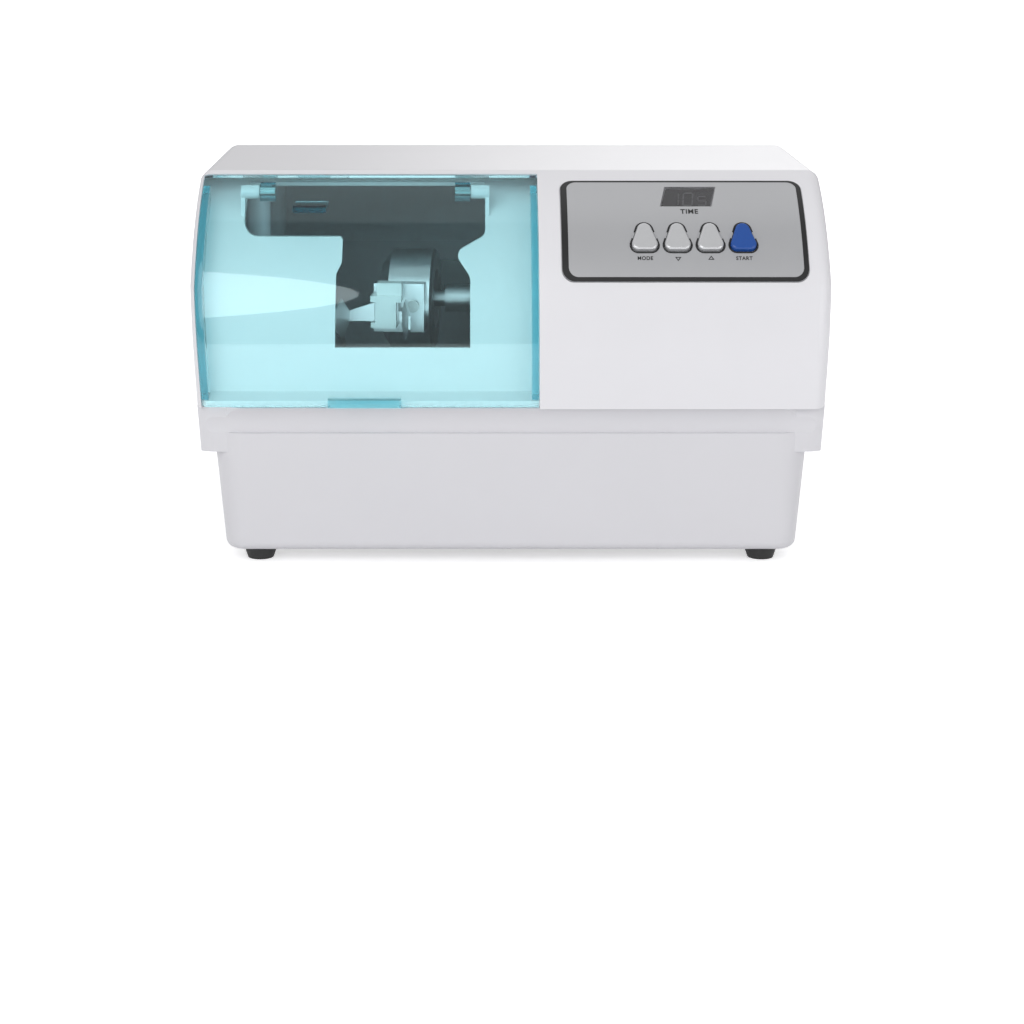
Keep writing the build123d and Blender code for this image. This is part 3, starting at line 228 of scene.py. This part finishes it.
def makeBrushGroup():
    # fine parallel scratches of turned, rolled or brushed metal and film
    tree, start, end = newGroup(
        "brushLines",
        [("Along", "NodeSocketVector", (40.0, 2600.0, 2600.0)), ("Depth", "NodeSocketFloat", 0.2)],
        [("Mask", "NodeSocketFloat"), ("Height", "NodeSocketFloat")],
    )
    place = tree.nodes.new("ShaderNodeTexCoord").outputs["Object"]
    stretch = tree.nodes.new("ShaderNodeVectorMath")
    stretch.operation = "MULTIPLY"
    tree.links.new(place, stretch.inputs[0])
    tree.links.new(start.outputs["Along"], stretch.inputs[1])
    lines = noiseNode(tree, stretch.outputs[0], 1.0, 4.0, 0.7)
    tree.links.new(lines, end.inputs["Mask"])
    tree.links.new(mathNode(tree, "MULTIPLY", lines, start.outputs["Depth"]), end.inputs["Height"])
    return tree


def makeDustGroup():
    # a thin film of dust where the surface looks up
    tree, start, end = newGroup(
        "dustFilm",
        [("Color", "NodeSocketColor", (0.8, 0.8, 0.8, 1)), ("Dust", "NodeSocketColor", (0.7, 0.69, 0.66, 1)),
         ("Amount", "NodeSocketFloat", 0.05)],
        [("Color", "NodeSocketColor")],
    )
    geometry = tree.nodes.new("ShaderNodeNewGeometry")
    split = tree.nodes.new("ShaderNodeSeparateXYZ")
    tree.links.new(geometry.outputs["Normal"], split.inputs[0])
    up = mathNode(tree, "MAXIMUM", split.outputs["Z"], 0.0)
    place = tree.nodes.new("ShaderNodeTexCoord").outputs["Object"]
    patch = noiseNode(tree, place, textures["dustScale"], 5.0, 0.65)
    mask = mathNode(tree, "MULTIPLY", mathNode(tree, "MULTIPLY", up, patch), start.outputs["Amount"])
    mix = tree.nodes.new("ShaderNodeMix")
    mix.data_type = "RGBA"
    tree.links.new(mask, mix.inputs["Factor"])
    tree.links.new(start.outputs["Color"], mix.inputs["A"])
    tree.links.new(start.outputs["Dust"], mix.inputs["B"])
    tree.links.new(mix.outputs["Result"], end.inputs["Color"])
    return tree


groups = {
    "drift": makeDriftGroup(), "grain": makeGrainGroup(), "brush": makeBrushGroup(), "dust": makeDustGroup(),
}


def placeGroup(tree, key, values):
    node = tree.nodes.new("ShaderNodeGroup")
    node.node_tree = groups[key]
    for label, value in values.items():
        node.inputs[label].default_value = value
    return node


def startMaterial(name):
    material = bpy.data.materials.new(name)
    material.use_nodes = True
    tree = material.node_tree
    return material, tree, tree.nodes["Principled BSDF"]


def setSockets(shader, values):
    for label, value in values.items():
        shader.inputs[label].default_value = value


def addBump(tree, shader, height, depth):
    # depth is in millimetres
    bump = tree.nodes.new("ShaderNodeBump")
    bump.inputs["Strength"].default_value = 1.0
    bump.inputs["Distance"].default_value = depth / 1000
    tree.links.new(height, bump.inputs["Height"])
    tree.links.new(bump.outputs["Normal"], shader.inputs["Normal"])


def makePlastic(name, color, roughness, grainScale=2600.0, grainDepth=0.02, drift=0.03, dust=0.03, peel=0.35,
                **sockets):
    material, tree, shader = startMaterial(name)
    tone = placeGroup(tree, "drift", {"Color": (*color, 1), "Drift": drift, "Roughness": roughness})
    film = placeGroup(tree, "dust", {"Amount": dust})
    tree.links.new(tone.outputs["Color"], film.inputs["Color"])
    tree.links.new(film.outputs["Color"], shader.inputs["Base Color"])
    tree.links.new(tone.outputs["Roughness"], shader.inputs["Roughness"])
    grain = placeGroup(tree, "grain", {"Scale": grainScale, "Peel": peel})
    addBump(tree, shader, grain.outputs["Height"], grainDepth)
    setSockets(shader, sockets)
    return material


def makeMetal(name, color, roughness, along=(40.0, 2600.0, 2600.0), depth=0.012, drift=0.06):
    material, tree, shader = startMaterial(name)
    setSockets(shader, {"Metallic": 1.0})
    tone = placeGroup(tree, "drift", {
        "Color": (*color, 1), "Drift": drift, "Scale": textures["metalScale"], "Roughness": roughness,
        "Spread": textures["metalSpread"],
    })
    tree.links.new(tone.outputs["Color"], shader.inputs["Base Color"])
    tree.links.new(tone.outputs["Roughness"], shader.inputs["Roughness"])
    lines = placeGroup(tree, "brush", {"Along": along, "Depth": 1.0})
    addBump(tree, shader, lines.outputs["Height"], depth)
    return material


coverLook = {
    "absorbDensity": 150.0,               # per metre, of the colour that is taken out
    "keptColor": (0.0, 0.73, 0.83),
    "roughness": 0.015,
    "bend": 1.49,                         # index of refraction
    "shadowTint": (0.92, 0.92, 0.92),
}


def makeCoverMaterial():
    material, tree, shader = startMaterial("tealClearPlastic")
    setSockets(shader, {"Base Color": (1, 1, 1, 1), "Transmission Weight": 1.0, "IOR": coverLook["bend"]})
    tone = placeGroup(tree, "drift", {"Roughness": coverLook["roughness"], "Spread": textures["glassSpread"]})
    tree.links.new(tone.outputs["Roughness"], shader.inputs["Roughness"])
    out = tree.nodes["Material Output"]
    absorb = tree.nodes.new("ShaderNodeVolumeAbsorption")
    absorb.inputs["Color"].default_value = (*coverLook["keptColor"], 1)
    absorb.inputs["Density"].default_value = coverLook["absorbDensity"]
    tree.links.new(absorb.outputs[0], out.inputs["Volume"])
    clear = tree.nodes.new("ShaderNodeBsdfTransparent")
    clear.inputs["Color"].default_value = (*coverLook["shadowTint"], 1)
    path = tree.nodes.new("ShaderNodeLightPath")
    mix = tree.nodes.new("ShaderNodeMixShader")
    tree.links.new(path.outputs["Is Shadow Ray"], mix.inputs["Fac"])
    tree.links.new(shader.outputs[0], mix.inputs[1])
    tree.links.new(clear.outputs[0], mix.inputs[2])
    tree.links.new(mix.outputs[0], out.inputs["Surface"])
    return material


def makeGlass(name, color, roughness=0.02):
    material, tree, shader = startMaterial(name)
    setSockets(shader, {"Base Color": (*color, 1), "Transmission Weight": 1.0, "IOR": 1.5})
    tone = placeGroup(tree, "drift", {"Roughness": roughness, "Spread": textures["glassSpread"]})
    tree.links.new(tone.outputs["Roughness"], shader.inputs["Roughness"])
    return material


finishes = {
    "tub_plastic": makePlastic("tubPlastic", (0.69, 0.685, 0.715), 0.42, 1900.0, 0.012),
    "shell_plastic": makePlastic("shellPlastic", (0.77, 0.765, 0.795), 0.36, 2100.0, 0.010),
    "cover_blue": makeCoverMaterial(),
    "liner_white": makePlastic("linerPlastic", (0.86, 0.87, 0.87), 0.3, 2600.0, 0.004),
    "label_silver": makePlastic(
        "labelFilm", (0.46, 0.465, 0.48), 0.32, 4200.0, 0.006, 0.05, 0.0, 0.1, Metallic=0.35),
    "display_lens": makeGlass("displayLens", (0.55, 0.55, 0.57)),
    "dark_component": makePlastic("darkComponent", (0.03, 0.03, 0.033), 0.4),
    "key_silver": makePlastic(
        "keySilver", (0.60, 0.605, 0.62), 0.25, 4200.0, 0.004, 0.03, 0.0, 0.1, Metallic=0.45),
    "key_blue": makePlastic("keyBlue", (0.012, 0.075, 0.33), 0.24, 4200.0, 0.004, 0.05, 0.0, 0.1),
    "switch_body": makePlastic("switchBody", (0.02, 0.02, 0.022), 0.45),
    "circuit_board": makePlastic("circuitBoard", (0.02, 0.16, 0.07), 0.3, 1500.0, 0.01, 0.12),
    "screw_steel": makeMetal("platedSteel", (0.55, 0.55, 0.54), 0.3),
    "bearing_steel": makeMetal("groundSteel", (0.72, 0.73, 0.74), 0.42, (2600.0, 60.0, 60.0)),
    "drum_alloy": makeMetal("turnedAlloy", (0.74, 0.75, 0.76), 0.32, (3000.0, 60.0, 60.0), 0.02),
    "clamp_white": makePlastic("clampNylon", (0.84, 0.85, 0.84), 0.38, 2200.0, 0.012),
    "spring_steel": makeMetal("springSteel", (0.72, 0.72, 0.73), 0.36),
    "motor_paint": makePlastic("motorPaint", (0.20, 0.21, 0.22), 0.4, 1400.0, 0.02, 0.08),
    "isolator_rubber": makePlastic("isolatorRubber", (0.025, 0.025, 0.026), 0.7),
    "core_iron": makeMetal("coreIron", (0.26, 0.25, 0.24), 0.5, (60.0, 3000.0, 60.0), 0.05),
    "winding_tape": makePlastic("windingTape", (0.62, 0.42, 0.06), 0.35, 1200.0, 0.02, 0.15),
    "black_plastic": makePlastic("blackPlastic", (0.016, 0.016, 0.017), 0.3, 2200.0, 0.012, 0.08, 0.03),
    "fuse_glass": makeGlass("fuseGlass", (0.92, 0.95, 0.95)),
    "cord_rubber": makePlastic("cordRubber", (0.014, 0.014, 0.015), 0.45, 1500.0, 0.015, 0.1, 0.04),
    "pin_brass": makeMetal("pinBrass", (0.72, 0.58, 0.32), 0.28),
    "foot_rubber": makePlastic("footRubber", (0.02, 0.02, 0.021), 0.65, 1400.0, 0.02, 0.1, 0.05),
}


def dressFrame():
    slots = {row["node"]: row["material_slot"] for row in frame["record"]["subparts"]}
    for name, thing in nodes.items():
        finish = finishes[slots[name]]
        for place in thing.material_slots:
            place.material = finish
        if not thing.material_slots:
            thing.data.materials.append(finish)


dressFrame()
print("stage: materials on the frame")


# Helpers that turn meshes into pieces of the object

weld = 1e-6         # vertices closer than this become one


def addPiece(name, mesh, body, material):
    thing = bpy.data.objects.new(name, mesh)
    bpy.context.collection.objects.link(thing)
    mesh.materials.clear()
    mesh.materials.append(material)
    for face in mesh.polygons:
        face.use_smooth = False
    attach(thing, body)
    return thing


def meshFrom(name, verts, faces):
    mesh = bpy.data.meshes.new(name)
    mesh.from_pydata([tuple(v) for v in verts], [], faces)
    mesh.validate()
    build = bmesh.new()
    build.from_mesh(mesh)
    bmesh.ops.remove_doubles(build, verts=build.verts, dist=weld)
    bmesh.ops.recalc_face_normals(build, faces=build.faces)
    build.to_mesh(mesh)
    build.free()
    return mesh


def joinMeshes(name, meshes):
    build = bmesh.new()
    for mesh in meshes:
        build.from_mesh(mesh)
    result = bpy.data.meshes.new(name)
    build.to_mesh(result)
    build.free()
    return result


# The cord runs from the grommet's boot through the coil to the plug

cordLook = {
    "diameter": 0.006,
    "length": 1.565,
    "route": [
        (-0.057, 0.105589, 0.016271), (-0.057, 0.122483, 0.014376), (-0.072, 0.137483, 0.0075),
        (-0.099, 0.146483, 0.0036), (-0.124, 0.162483, 0.003), (-0.137, 0.190483, 0.003),
        (-0.131, 0.219483, 0.003), (-0.109, 0.239483, 0.003), (-0.082, 0.2302, 0.003), (-0.066, 0.2302, 0.003),
    ],
    "coilX": -0.060,
    "coilY": 0.2302,
    "firstRadius": 0.0445,
    "pitch": 0.0066,
    "layerTurns": 6,        # half turns in each layer
    "steps": 8,             # control points in each half turn
    "lead": 0.028,
    "aroundSteps": 5,       # of the tube's section
    "alongSteps": 6,        # between control points
}


def coilPoints():
    look = cordLook
    low = look["diameter"] / 2
    high = low + look["pitch"]
    stepAngle = 180 / look["steps"]
    points = []
    y = look["coilY"]
    radius = look["firstRadius"]
    side = -1
    for turn in range(2 * look["layerTurns"]):
        climbing = turn == look["layerTurns"]
        outer = radius / cosDeg(stepAngle / 2)
        middleY = y + side * radius
        for i in range(look["steps"]):
            angle = (i + 0.5) * stepAngle
            x = look["coilX"] - side * outer * sinDeg(angle)
            z = low if turn < look["layerTurns"] else high
            if climbing:
                z = low + look["pitch"] * (1 - cosDeg(angle)) / 2
            points.append((x, middleY - side * outer * cosDeg(angle), z))
        y += side * 2 * radius
        side = -side
        if turn < look["layerTurns"]:
            radius -= look["pitch"] / 2
        else:
            radius += look["pitch"] / 2
    points.append((look["coilX"] + look["lead"] / 2, y, high))
    points.append((look["coilX"] + look["lead"], y, high))
    return points


def makeCord():
    curve = bpy.data.curves.new("mainsCord", "CURVE")
    curve.dimensions = "3D"
    curve.bevel_depth = cordLook["diameter"] / 2
    curve.bevel_resolution = cordLook["aroundSteps"]
    curve.resolution_u = cordLook["alongSteps"]
    spline = curve.splines.new("NURBS")
    points = cordLook["route"] + coilPoints()
    spline.points.add(len(points) - 1)
    for knot, place in zip(spline.points, points):
        knot.co = (*place, 1)
    spline.order_u = 3
    spline.use_endpoint_u = True
    cord = bpy.data.objects.new("mainsCord", curve)
    bpy.context.collection.objects.link(cord)
    curve.materials.append(finishes["cord_rubber"])
    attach(cord, "housing")
    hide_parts("cord_free", "cord_coil")


makeCord()
print("stage: cord laid")


# Print and display of the keypad

def rollPoint(x, up, proud):
    # up is measured in the keypad's own plane, proud from the rolled surface
    radius = case["rollRadius"] + proud
    angle = case["panelAngle"] - math.degrees(math.asin(up / case["rollRadius"]))
    return (x, case["rollY"] - radius * sinDeg(angle), case["rollZ"] + radius * cosDeg(angle))


def roundedRectangle(width, height, radii, steps=10):
    # radii start at the lower left and go anticlockwise
    places = [(-1, -1, 180), (1, -1, 270), (1, 1, 0), (-1, 1, 90)]
    outline = []
    for (sx, sy, start), radius in zip(places, radii):
        cx = sx * (width / 2 - radius)
        cy = sy * (height / 2 - radius)
        for i in range(steps + 1):
            angle = start + 90 * i / steps
            outline.append((cx + radius * cosDeg(angle), cy + radius * sinDeg(angle)))
    return outline


def refineLoop(loop, step):
    fine = []
    for here, there in zip(loop, loop[1:] + loop[:1]):
        gap = math.dist(here, there)
        count = max(1, math.ceil(gap / step))
        fine += [tuple(a + (b - a) * i / count for a, b in zip(here, there)) for i in range(count)]
    return fine


def ribbon(name, outer, inner, low, high, place=rollPoint):
    # a closed band between two matched loops of points, laid on a surface with a thickness
    count = len(outer)
    verts = []
    for loop, proud in ((outer, low), (inner, low), (inner, high), (outer, high)):
        verts += [place(x, up, proud) for x, up in loop]
    faces = []
    for i in range(count):
        j = (i + 1) % count
        for ring in range(4):
            a, b = ring * count, (ring + 1) % 4 * count
            faces.append((a + i, a + j, b + j, b + i))
    return meshFrom(name, verts, faces)


labelLook = {
    "width": 0.0953, "height": 0.0465, "corner": 0.005, "edge": 0.0001,
    "border": {"left": 0.0026, "right": 0.0020, "bottom": 0.0018, "top": 0.0010},
    "innerCorner": 0.0038, "borderStep": 0.0015,
    "surface": 0.0004,
    "ink": 0.00006, "sunk": 0.00002,
    "keyXs": [0.0519, 0.06465, 0.0774, 0.09015],
    "keyDrop": 0.0055,
    # a key's outline: the middle and radius of each circle that it is drawn around
    "keyCircles": [(0.0, 0.0032, 0.0028), (-0.0025, -0.0033, 0.0025), (0.0025, -0.0033, 0.0025)],
    "keyGap": 0.0003, "outline": 0.00055,
    "arrowHalf": 0.0014, "arrowTall": 0.0011, "arrowUp": -0.0142,
    "letterGap": 1.12,
    "displayX": 0.070, "displayRise": 0.0144,
    "displayWidth": 0.020, "displayHeight": 0.0104, "displaySlant": 0.0024,
}
captions = [
    # name, words, x, up, height, extra weight
    ("timeCaption", "TIME", 0.0700, 0.0064, 0.0030, 0.00008),
    ("modeCaption", "MODE", labelLook["keyXs"][0], -0.0142, 0.0020, 0.00005),
    ("startCaption", "START", labelLook["keyXs"][3], -0.0142, 0.0020, 0.00005),
]
inkBlack = makePlastic("blackInk", (0.012, 0.012, 0.013), 0.35, 4200.0, 0.003, 0.05, 0.0, 0.1)
inkLow = labelLook["surface"] - labelLook["sunk"]
inkHigh = labelLook["surface"] + labelLook["ink"]


def labelRoll(points):
    return [(case["labelMiddleX"] + x, y) for x, y in points]


def makeBorder():
    look = labelLook
    rim = look["border"]
    wide, tall = look["width"] - 2 * look["edge"], look["height"] - 2 * look["edge"]
    outer = roundedRectangle(wide, tall, [look["corner"]] * 4, 12)
    narrow = look["width"] - rim["left"] - rim["right"]
    short = look["height"] - rim["top"] - rim["bottom"]
    shiftX = (rim["left"] - rim["right"]) / 2
    shiftY = (rim["bottom"] - rim["top"]) / 2
    inner = roundedRectangle(narrow, short, [look["innerCorner"]] * 4, 12)
    inner = [(x + shiftX, y + shiftY) for x, y in inner]
    fineOuter, fineInner = [], []
    for i in range(len(outer)):
        j = (i + 1) % len(outer)
        count = max(1, math.ceil(math.dist(outer[i], outer[j]) / look["borderStep"]))
        for k in range(count):
            fineOuter.append(tuple(a + (b - a) * (k / count) for a, b in zip(outer[i], outer[j])))
            fineInner.append(tuple(a + (b - a) * (k / count) for a, b in zip(inner[i], inner[j])))
    mesh = ribbon("labelBorder", labelRoll(fineOuter), labelRoll(fineInner), inkLow, inkHigh)
    addPiece("labelBorder", mesh, "housing", inkBlack)


def keyOutline(keyX, grow):
    # a small circle above two smaller ones, joined by straight sides
    points = []
    for angle in range(0, 360, 3):
        across, up = cosDeg(angle), sinDeg(angle)
        cx, cy, radius = max(labelLook["keyCircles"], key=lambda c: c[0] * across + c[1] * up + c[2])
        reach = radius + grow
        points.append((keyX + cx + reach * across, cy + reach * up - labelLook["keyDrop"]))
    return points


def makeKeyRings():
    rings = []
    for keyX in labelLook["keyXs"]:
        outer = keyOutline(keyX, labelLook["keyGap"] + labelLook["outline"])
        inner = keyOutline(keyX, labelLook["keyGap"])
        rings.append(ribbon("ring", outer, inner, inkLow, inkHigh))
    addPiece("keyOutlines", joinMeshes("keyOutlines", rings), "housing", inkBlack)


def wrapText(name, words, x, up, size, bold):
    data = bpy.data.curves.new(name, "FONT")
    data.body = words
    data.size = size
    data.align_x = "CENTER"
    data.align_y = "CENTER"
    data.offset = bold
    data.space_character = labelLook["letterGap"]
    thing = bpy.data.objects.new(name, data)
    bpy.context.collection.objects.link(thing)
    bpy.context.view_layer.update()
    flat = bpy.data.meshes.new_from_object(thing.evaluated_get(bpy.context.evaluated_depsgraph_get()))
    bpy.data.objects.remove(thing)
    build = bmesh.new()
    build.from_mesh(flat)
    bmesh.ops.remove_doubles(build, verts=build.verts, dist=weld)
    grown = bmesh.ops.extrude_face_region(build, geom=build.faces[:])
    top = {v for v in grown["geom"] if isinstance(v, bmesh.types.BMVert)}
    for v in build.verts:
        v.co = Vector(rollPoint(x + v.co.x, up + v.co.y, inkHigh if v in top else inkLow))
    bmesh.ops.recalc_face_normals(build, faces=build.faces)
    mesh = bpy.data.meshes.new(name)
    build.to_mesh(mesh)
    build.free()
    addPiece(name, mesh, "housing", inkBlack)


def arrowOutline(keyX, turn, share):
    half, tall = labelLook["arrowHalf"] * share, labelLook["arrowTall"] * share
    middle = labelLook["arrowUp"]
    return [(keyX + half * cosDeg(a), middle + tall * turn * sinDeg(a)) for a in (90, 210, 330)]


def makeCaptions():
    for caption in captions:
        wrapText(*caption)
    keyXs = labelLook["keyXs"]
    for name, keyX, turn in (("downArrow", keyXs[1], -1), ("upArrow", keyXs[2], 1)):
        mesh = ribbon("arrow", arrowOutline(keyX, turn, 1.0), arrowOutline(keyX, turn, 0.5), inkLow, inkHigh)
        addPiece(name, mesh, "housing", inkBlack)


displayLook = {
    "faceProud": -0.0012, "faceThick": 0.0006, "edge": 0.0003, "edgeStep": 0.001,
    "faceColor": (0.13, 0.13, 0.135),
    "digitColor": (0.36, 0.36, 0.37),
    "digits": "105",
    "digitWidth": 0.0036, "digitHeight": 0.0066, "stroke": 0.0006, "pitch": 0.0055, "slant": 0.10,
    "lastWide": 0.9, "lastTall": 0.72,       # the last digit is smaller
    "digitDrop": 0.0006, "digitSunk": 0.00001, "digitProud": 0.0001,
    "barGap": 0.00022,
}
segmentShapes = {
    # the lit bars, clockwise from the top as a to f, and g in the middle
    "0": "abcdef", "1": "bc", "5": "afgcd",
}


def segmentBars(width, height):
    half, tall, gap = width / 2, height / 2, displayLook["barGap"]
    return {
        "a": ((-half + gap, tall), (half - gap, tall)), "b": ((half, tall - gap), (half, gap)),
        "c": ((half, -gap), (half, -tall + gap)), "d": ((-half + gap, -tall), (half - gap, -tall)),
        "e": ((-half, -gap), (-half, -tall + gap)), "f": ((-half, tall - gap), (-half, gap)),
        "g": ((-half + gap, 0.0), (half - gap, 0.0)),
    }


def makeDisplayFace():
    look = labelLook
    half = look["displayWidth"] / 2 - displayLook["edge"]
    tall = look["displayHeight"] / 2 - displayLook["edge"]
    lean = look["displaySlant"] / 2
    corners = [(-half - lean, -tall), (half - lean, -tall), (half + lean, tall), (-half + lean, tall)]
    corners = [(look["displayX"] + x, look["displayRise"] + y) for x, y in corners]
    mesh = bpy.data.meshes.new("displayFace")
    build = bmesh.new()
    ring = [build.verts.new(rollPoint(x, up, displayLook["faceProud"]))
            for x, up in refineLoop(corners, displayLook["edgeStep"])]
    bmesh.ops.triangulate(build, faces=[build.faces.new(ring)])
    grown = bmesh.ops.extrude_face_region(build, geom=build.faces[:])
    top, under = (Vector(rollPoint(0, look["displayRise"], proud)) for proud in (0, -displayLook["faceThick"]))
    for v in grown["geom"]:
        if isinstance(v, bmesh.types.BMVert):
            v.co += under - top
    bmesh.ops.recalc_face_normals(build, faces=build.faces)
    build.to_mesh(mesh)
    build.free()
    finish = makePlastic("displayFace", displayLook["faceColor"], 0.3, 3000.0, 0.004, 0.08, 0.0)
    addPiece("displayFace", mesh, "housing", finish)


def barMesh(ends, middleX, middleUp):
    look = displayLook
    (x0, y0), (x1, y1) = ends
    size = math.hypot(x1 - x0, y1 - y0)
    nx, ny = (y0 - y1) / size * look["stroke"] / 2, (x1 - x0) / size * look["stroke"] / 2
    quad = [(x0 + nx, y0 + ny), (x0 - nx, y0 - ny), (x1 - nx, y1 - ny), (x1 + nx, y1 + ny)]
    quad = [(middleX + x + y * look["slant"], middleUp + y) for x, y in quad]
    levels = (look["faceProud"] - look["digitSunk"], look["faceProud"] + look["digitProud"])
    verts = [rollPoint(x, up, level) for level in levels for x, up in quad]
    faces = [(0, 1, 2, 3), (4, 5, 6, 7), (0, 1, 5, 4), (1, 2, 6, 5), (2, 3, 7, 6), (3, 0, 4, 7)]
    return meshFrom("bar", verts, faces)


def makeDigits():
    look = displayLook
    last = len(look["digits"]) - 1
    bars = []
    for place, digit in enumerate(look["digits"]):
        wide = look["digitWidth"] * (look["lastWide"] if place == last else 1.0)
        tall = look["digitHeight"] * (look["lastTall"] if place == last else 1.0)
        middleX = labelLook["displayX"] + (place - 1) * look["pitch"]
        middleUp = labelLook["displayRise"] - look["digitDrop"] - (look["digitHeight"] - tall) / 2
        shapes = segmentBars(wide, tall)
        bars += [barMesh(shapes[key], middleX, middleUp) for key in segmentShapes[digit]]
    finish = makePlastic("digitGrey", look["digitColor"], 0.35, 3000.0, 0.003, 0.05, 0.0)
    addPiece("displayDigits", joinMeshes("displayDigits", bars), "housing", finish)


rockerLook = {
    "x": 0.017,
    "tilt": 8.0,                 # degrees, as the rocker lies switched off
    "dish": 0.0020, "dishRise": 0.0012, "dishHalf": 0.0075,
    "ring": {"x": -0.0027, "width": 0.0026, "height": 0.0031, "line": 0.0004, "stepAngle": 7.5},
    "bar": {"x": 0.0034, "width": 0.0031, "height": 0.0005, "corner": 0.0002, "step": 0.0003, "core": 0.3},
    "sunk": 0.00002, "ink": 0.00005,
}
inkWhite = makePlastic("whiteInk", (0.78, 0.78, 0.77), 0.4, 4200.0, 0.003, 0.05, 0.0, 0.1)


def rearMatrix(x):
    # the plane of the rear wall at a fitting: x to the viewer's right, y up the wall, z out of it
    up, out = sinDeg(case["wallDraft"]), cosDeg(case["wallDraft"])
    rise = case["fittingZ"] - case["footHeight"]
    y = case["frontY"] + case["tubDepth"] + math.tan(math.radians(case["wallDraft"])) * rise
    return Matrix(((-1, 0, 0, x), (0, up, out, y), (0, out, -up, case["fittingZ"]), (0, 0, 0, 1)))


def rockerPoint(x, up, proud):
    look = rockerLook
    dish = look["dish"] + look["dishRise"] * (x / look["dishHalf"]) ** 2 + proud
    turn = rearMatrix(look["x"]) @ Matrix.Rotation(math.radians(look["tilt"]), 4, "Y")
    return tuple(turn @ Vector((x, up, dish)))


def ellipse(x, width, height, stepAngle):
    angles = [stepAngle * i for i in range(round(360 / stepAngle))]
    return [(x + width / 2 * cosDeg(a), height / 2 * sinDeg(a)) for a in angles]


def makeRockerMarks():
    look, ring, bar = rockerLook, rockerLook["ring"], rockerLook["bar"]
    outer = ellipse(ring["x"], ring["width"], ring["height"], ring["stepAngle"])
    thin = 2 * ring["line"]
    inner = ellipse(ring["x"], ring["width"] - thin, ring["height"] - thin, ring["stepAngle"])
    loop = refineLoop(roundedRectangle(bar["width"], bar["height"], [bar["corner"]] * 4, 3), bar["step"])
    rim = [(bar["x"] + x, y) for x, y in loop]
    core = [(bar["x"] + x * bar["core"], y * bar["core"]) for x, y in loop]
    middle = [(bar["x"], 0.0)] * len(core)
    bands = (("ringMark", outer, inner), ("barMark", rim, core), ("barCore", core, middle))
    marks = [ribbon(name, big, small, -look["sunk"], look["ink"], rockerPoint) for name, big, small in bands]
    addPiece("rockerMarks", joinMeshes("rockerMarks", marks), "rocker", inkWhite)


makeBorder()
makeKeyRings()
makeRockerMarks()
makeCaptions()
makeDisplayFace()
makeDigits()
print("stage: keypad printed")


# A floor that shows white and keeps the shadow

def makeFloor():
    build = bmesh.new()
    bmesh.ops.create_grid(build, x_segments=1, y_segments=1, size=studio["floorHalf"])
    mesh = bpy.data.meshes.new("paleFloor")
    build.to_mesh(mesh)
    build.free()
    floor = bpy.data.objects.new("paleFloor", mesh)
    bpy.context.collection.objects.link(floor)
    material, tree, shader = startMaterial("paleFloor")
    setSockets(shader, {"Base Color": (*studio["floorColor"], 1), "Roughness": studio["floorRoughness"]})
    out = tree.nodes["Material Output"]
    place = tree.nodes.new("ShaderNodeTexCoord").outputs["Object"]
    far = tree.nodes.new("ShaderNodeVectorMath")
    far.operation = "LENGTH"
    tree.links.new(place, far.inputs[0])
    gained = mathNode(tree, "MULTIPLY", far.outputs["Value"], studio["glowGain"])
    level = mathNode(tree, "MINIMUM", mathNode(tree, "ADD", gained, studio["floorGlow"]), 1.0)
    path = tree.nodes.new("ShaderNodeLightPath")
    seen = mathNode(tree, "MAXIMUM", path.outputs["Is Camera Ray"], path.outputs["Is Glossy Ray"])
    seen = mathNode(tree, "MAXIMUM", seen, path.outputs["Is Transmission Ray"])
    glow = tree.nodes.new("ShaderNodeEmission")
    tree.links.new(mathNode(tree, "MULTIPLY", level, seen), glow.inputs["Strength"])
    both = tree.nodes.new("ShaderNodeAddShader")
    tree.links.new(shader.outputs[0], both.inputs[0])
    tree.links.new(glow.outputs[0], both.inputs[1])
    tree.links.new(both.outputs[0], out.inputs["Surface"])
    mesh.materials.append(material)


makeFloor()
